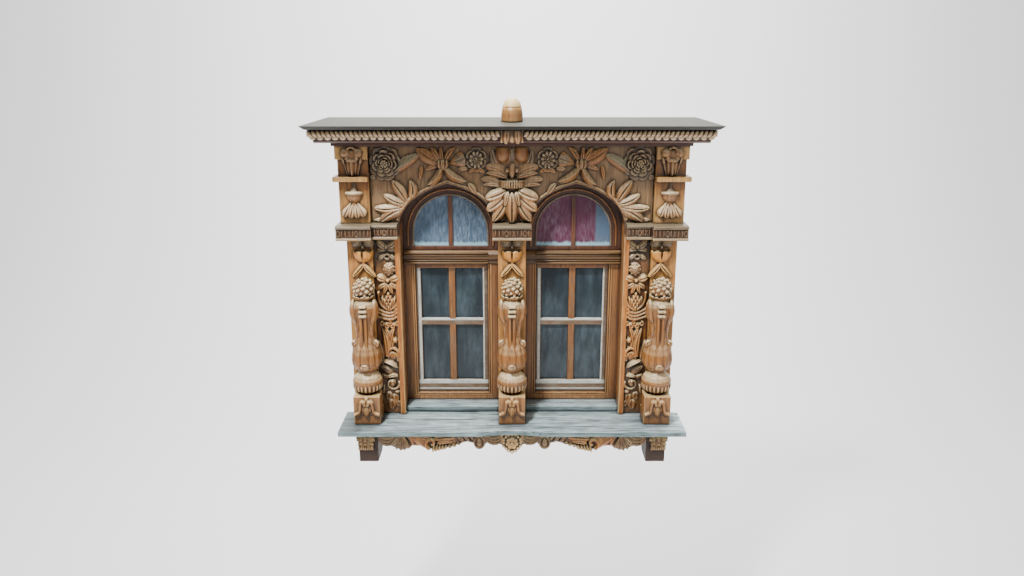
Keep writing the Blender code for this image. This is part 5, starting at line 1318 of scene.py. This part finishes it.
# Dark coat on the edge with painted shade on every face that does not face up: nearly black and rough.
dark_edge_and_shade = weathered_wood("dark_drip_edge_and_shade", "0C0B0A", "1C1B18", "282620", "33312C", "46443C",
                            grain="X", silvered=0.3, wear_and_highlight_amount=0.3, roughness=0.6)
roof = board("roof_board_eased", "roof_board", 0.003, roof_grey, "roof_board")
tint(roof, dark_edge_and_shade, lambda x, up, normal: normal.z < 0.5)

# Finial: a turned bullet of limewood on the roof, its cap bleached above a line
# cut round it.
low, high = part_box("finial")
tall = high.z - low.z
profile = ((0.0, tall), (0.022, tall - 0.002), (0.041, tall - 0.013), (0.054, tall - 0.032),
           (0.0595, tall - 0.050), (0.0605, tall - 0.055), (0.058, tall - 0.0575), (0.0615, tall - 0.060),
           (0.0655, tall - 0.080), (0.069, tall - 0.110), (0.070, 0.008), (0.070, 0.0), (0.0, 0.0))
bm = turned(profile, 48)
bmesh.ops.translate(bm, verts=bm.verts, vec=(0, -0.200, low.z))
finial = show("finial_turned", bm, post_wood, "pale_carving", "finial")
# The cap, bleached to cream.
cap_wood = weathered_wood("bleached_finial_cap", "5A3E1C", "D8AE68", "F0C880", "C8AC78", "FFEEC0",
                          silvered=0.3, wear_and_highlight_amount=0.35)
tint(finial, cap_wood, lambda x, up, normal: up + SILL_TOP > high.z - 0.056)

# The stage: a pale floor that sweeps up into the backdrop, soft lights, the camera.
stage_grey = bpy.data.materials.new("pale_matt_backdrop")
stage_grey.use_nodes = True
stage_grey.node_tree.nodes["Principled BSDF"].inputs["Base Color"].default_value = linear("F0F0F0")
stage_grey.node_tree.nodes["Principled BSDF"].inputs["Roughness"].default_value = 1.0
SWEEP_START, SWEEP_RADIUS, FLOOR_DROP = 3.0, 6.0, 4.2
bm = bmesh.new()
bmesh.ops.create_grid(bm, x_segments=1, y_segments=160, size=20)
for vert in bm.verts:
    past = vert.co.y - SWEEP_START
    if past > 0:
        bend = min(past / SWEEP_RADIUS, pi / 2)
        vert.co.y = SWEEP_START + SWEEP_RADIUS * sin(bend)
        vert.co.z = SWEEP_RADIUS * (1 - cos(bend)) + max(0.0, past - SWEEP_RADIUS * pi / 2)
for face in bm.faces:
    face.smooth = True
bmesh.ops.translate(bm, verts=bm.verts, vec=(0, 0, -FLOOR_DROP))
floor_mesh = bpy.data.meshes.new("floor")
bm.to_mesh(floor_mesh)
bm.free()
floor_mesh.materials.append(stage_grey)
floor = bpy.data.objects.new("floor", floor_mesh)
bpy.context.scene.collection.objects.link(floor)

world = bpy.data.worlds.new("studio")
world.use_nodes = True
world.node_tree.nodes["Background"].inputs["Color"].default_value = linear("E6E6E6")
world.node_tree.nodes["Background"].inputs["Strength"].default_value = 0.55
bpy.context.scene.world = world


def soft_light(name, place, target, size, power):
    """A round soft box that faces its target, size in metres and power in watts."""
    lamp = bpy.data.lights.new(name, "AREA")
    lamp.shape = "DISK"
    lamp.size = size
    lamp.energy = power
    holder = bpy.data.objects.new(name, lamp)
    holder.location = place
    holder.rotation_euler = (Vector(target) - Vector(place)).to_track_quat("-Z", "Y").to_euler()
    bpy.context.scene.collection.objects.link(holder)


soft_light("key", (-2.0, -4.0, 4.4), (0, 0, -1.0), 1.0, 820)
soft_light("fill", (3.6, -4.6, 0.6), (0, 0, -1.1), 3.0, 60)
soft_light("backdrop", (0, 2.5, 7.5), (0, 8.0, 0.0), 3.0, 2600)

camera = bpy.data.cameras.new("camera")
camera.sensor_width = 36
camera.lens = 28.72
view = bpy.data.objects.new("camera", camera)
view.location = (0, -5.48, 0.467)
view.rotation_euler = (radians(74.5), 0, 0)
bpy.context.scene.collection.objects.link(view)
bpy.context.scene.camera = view
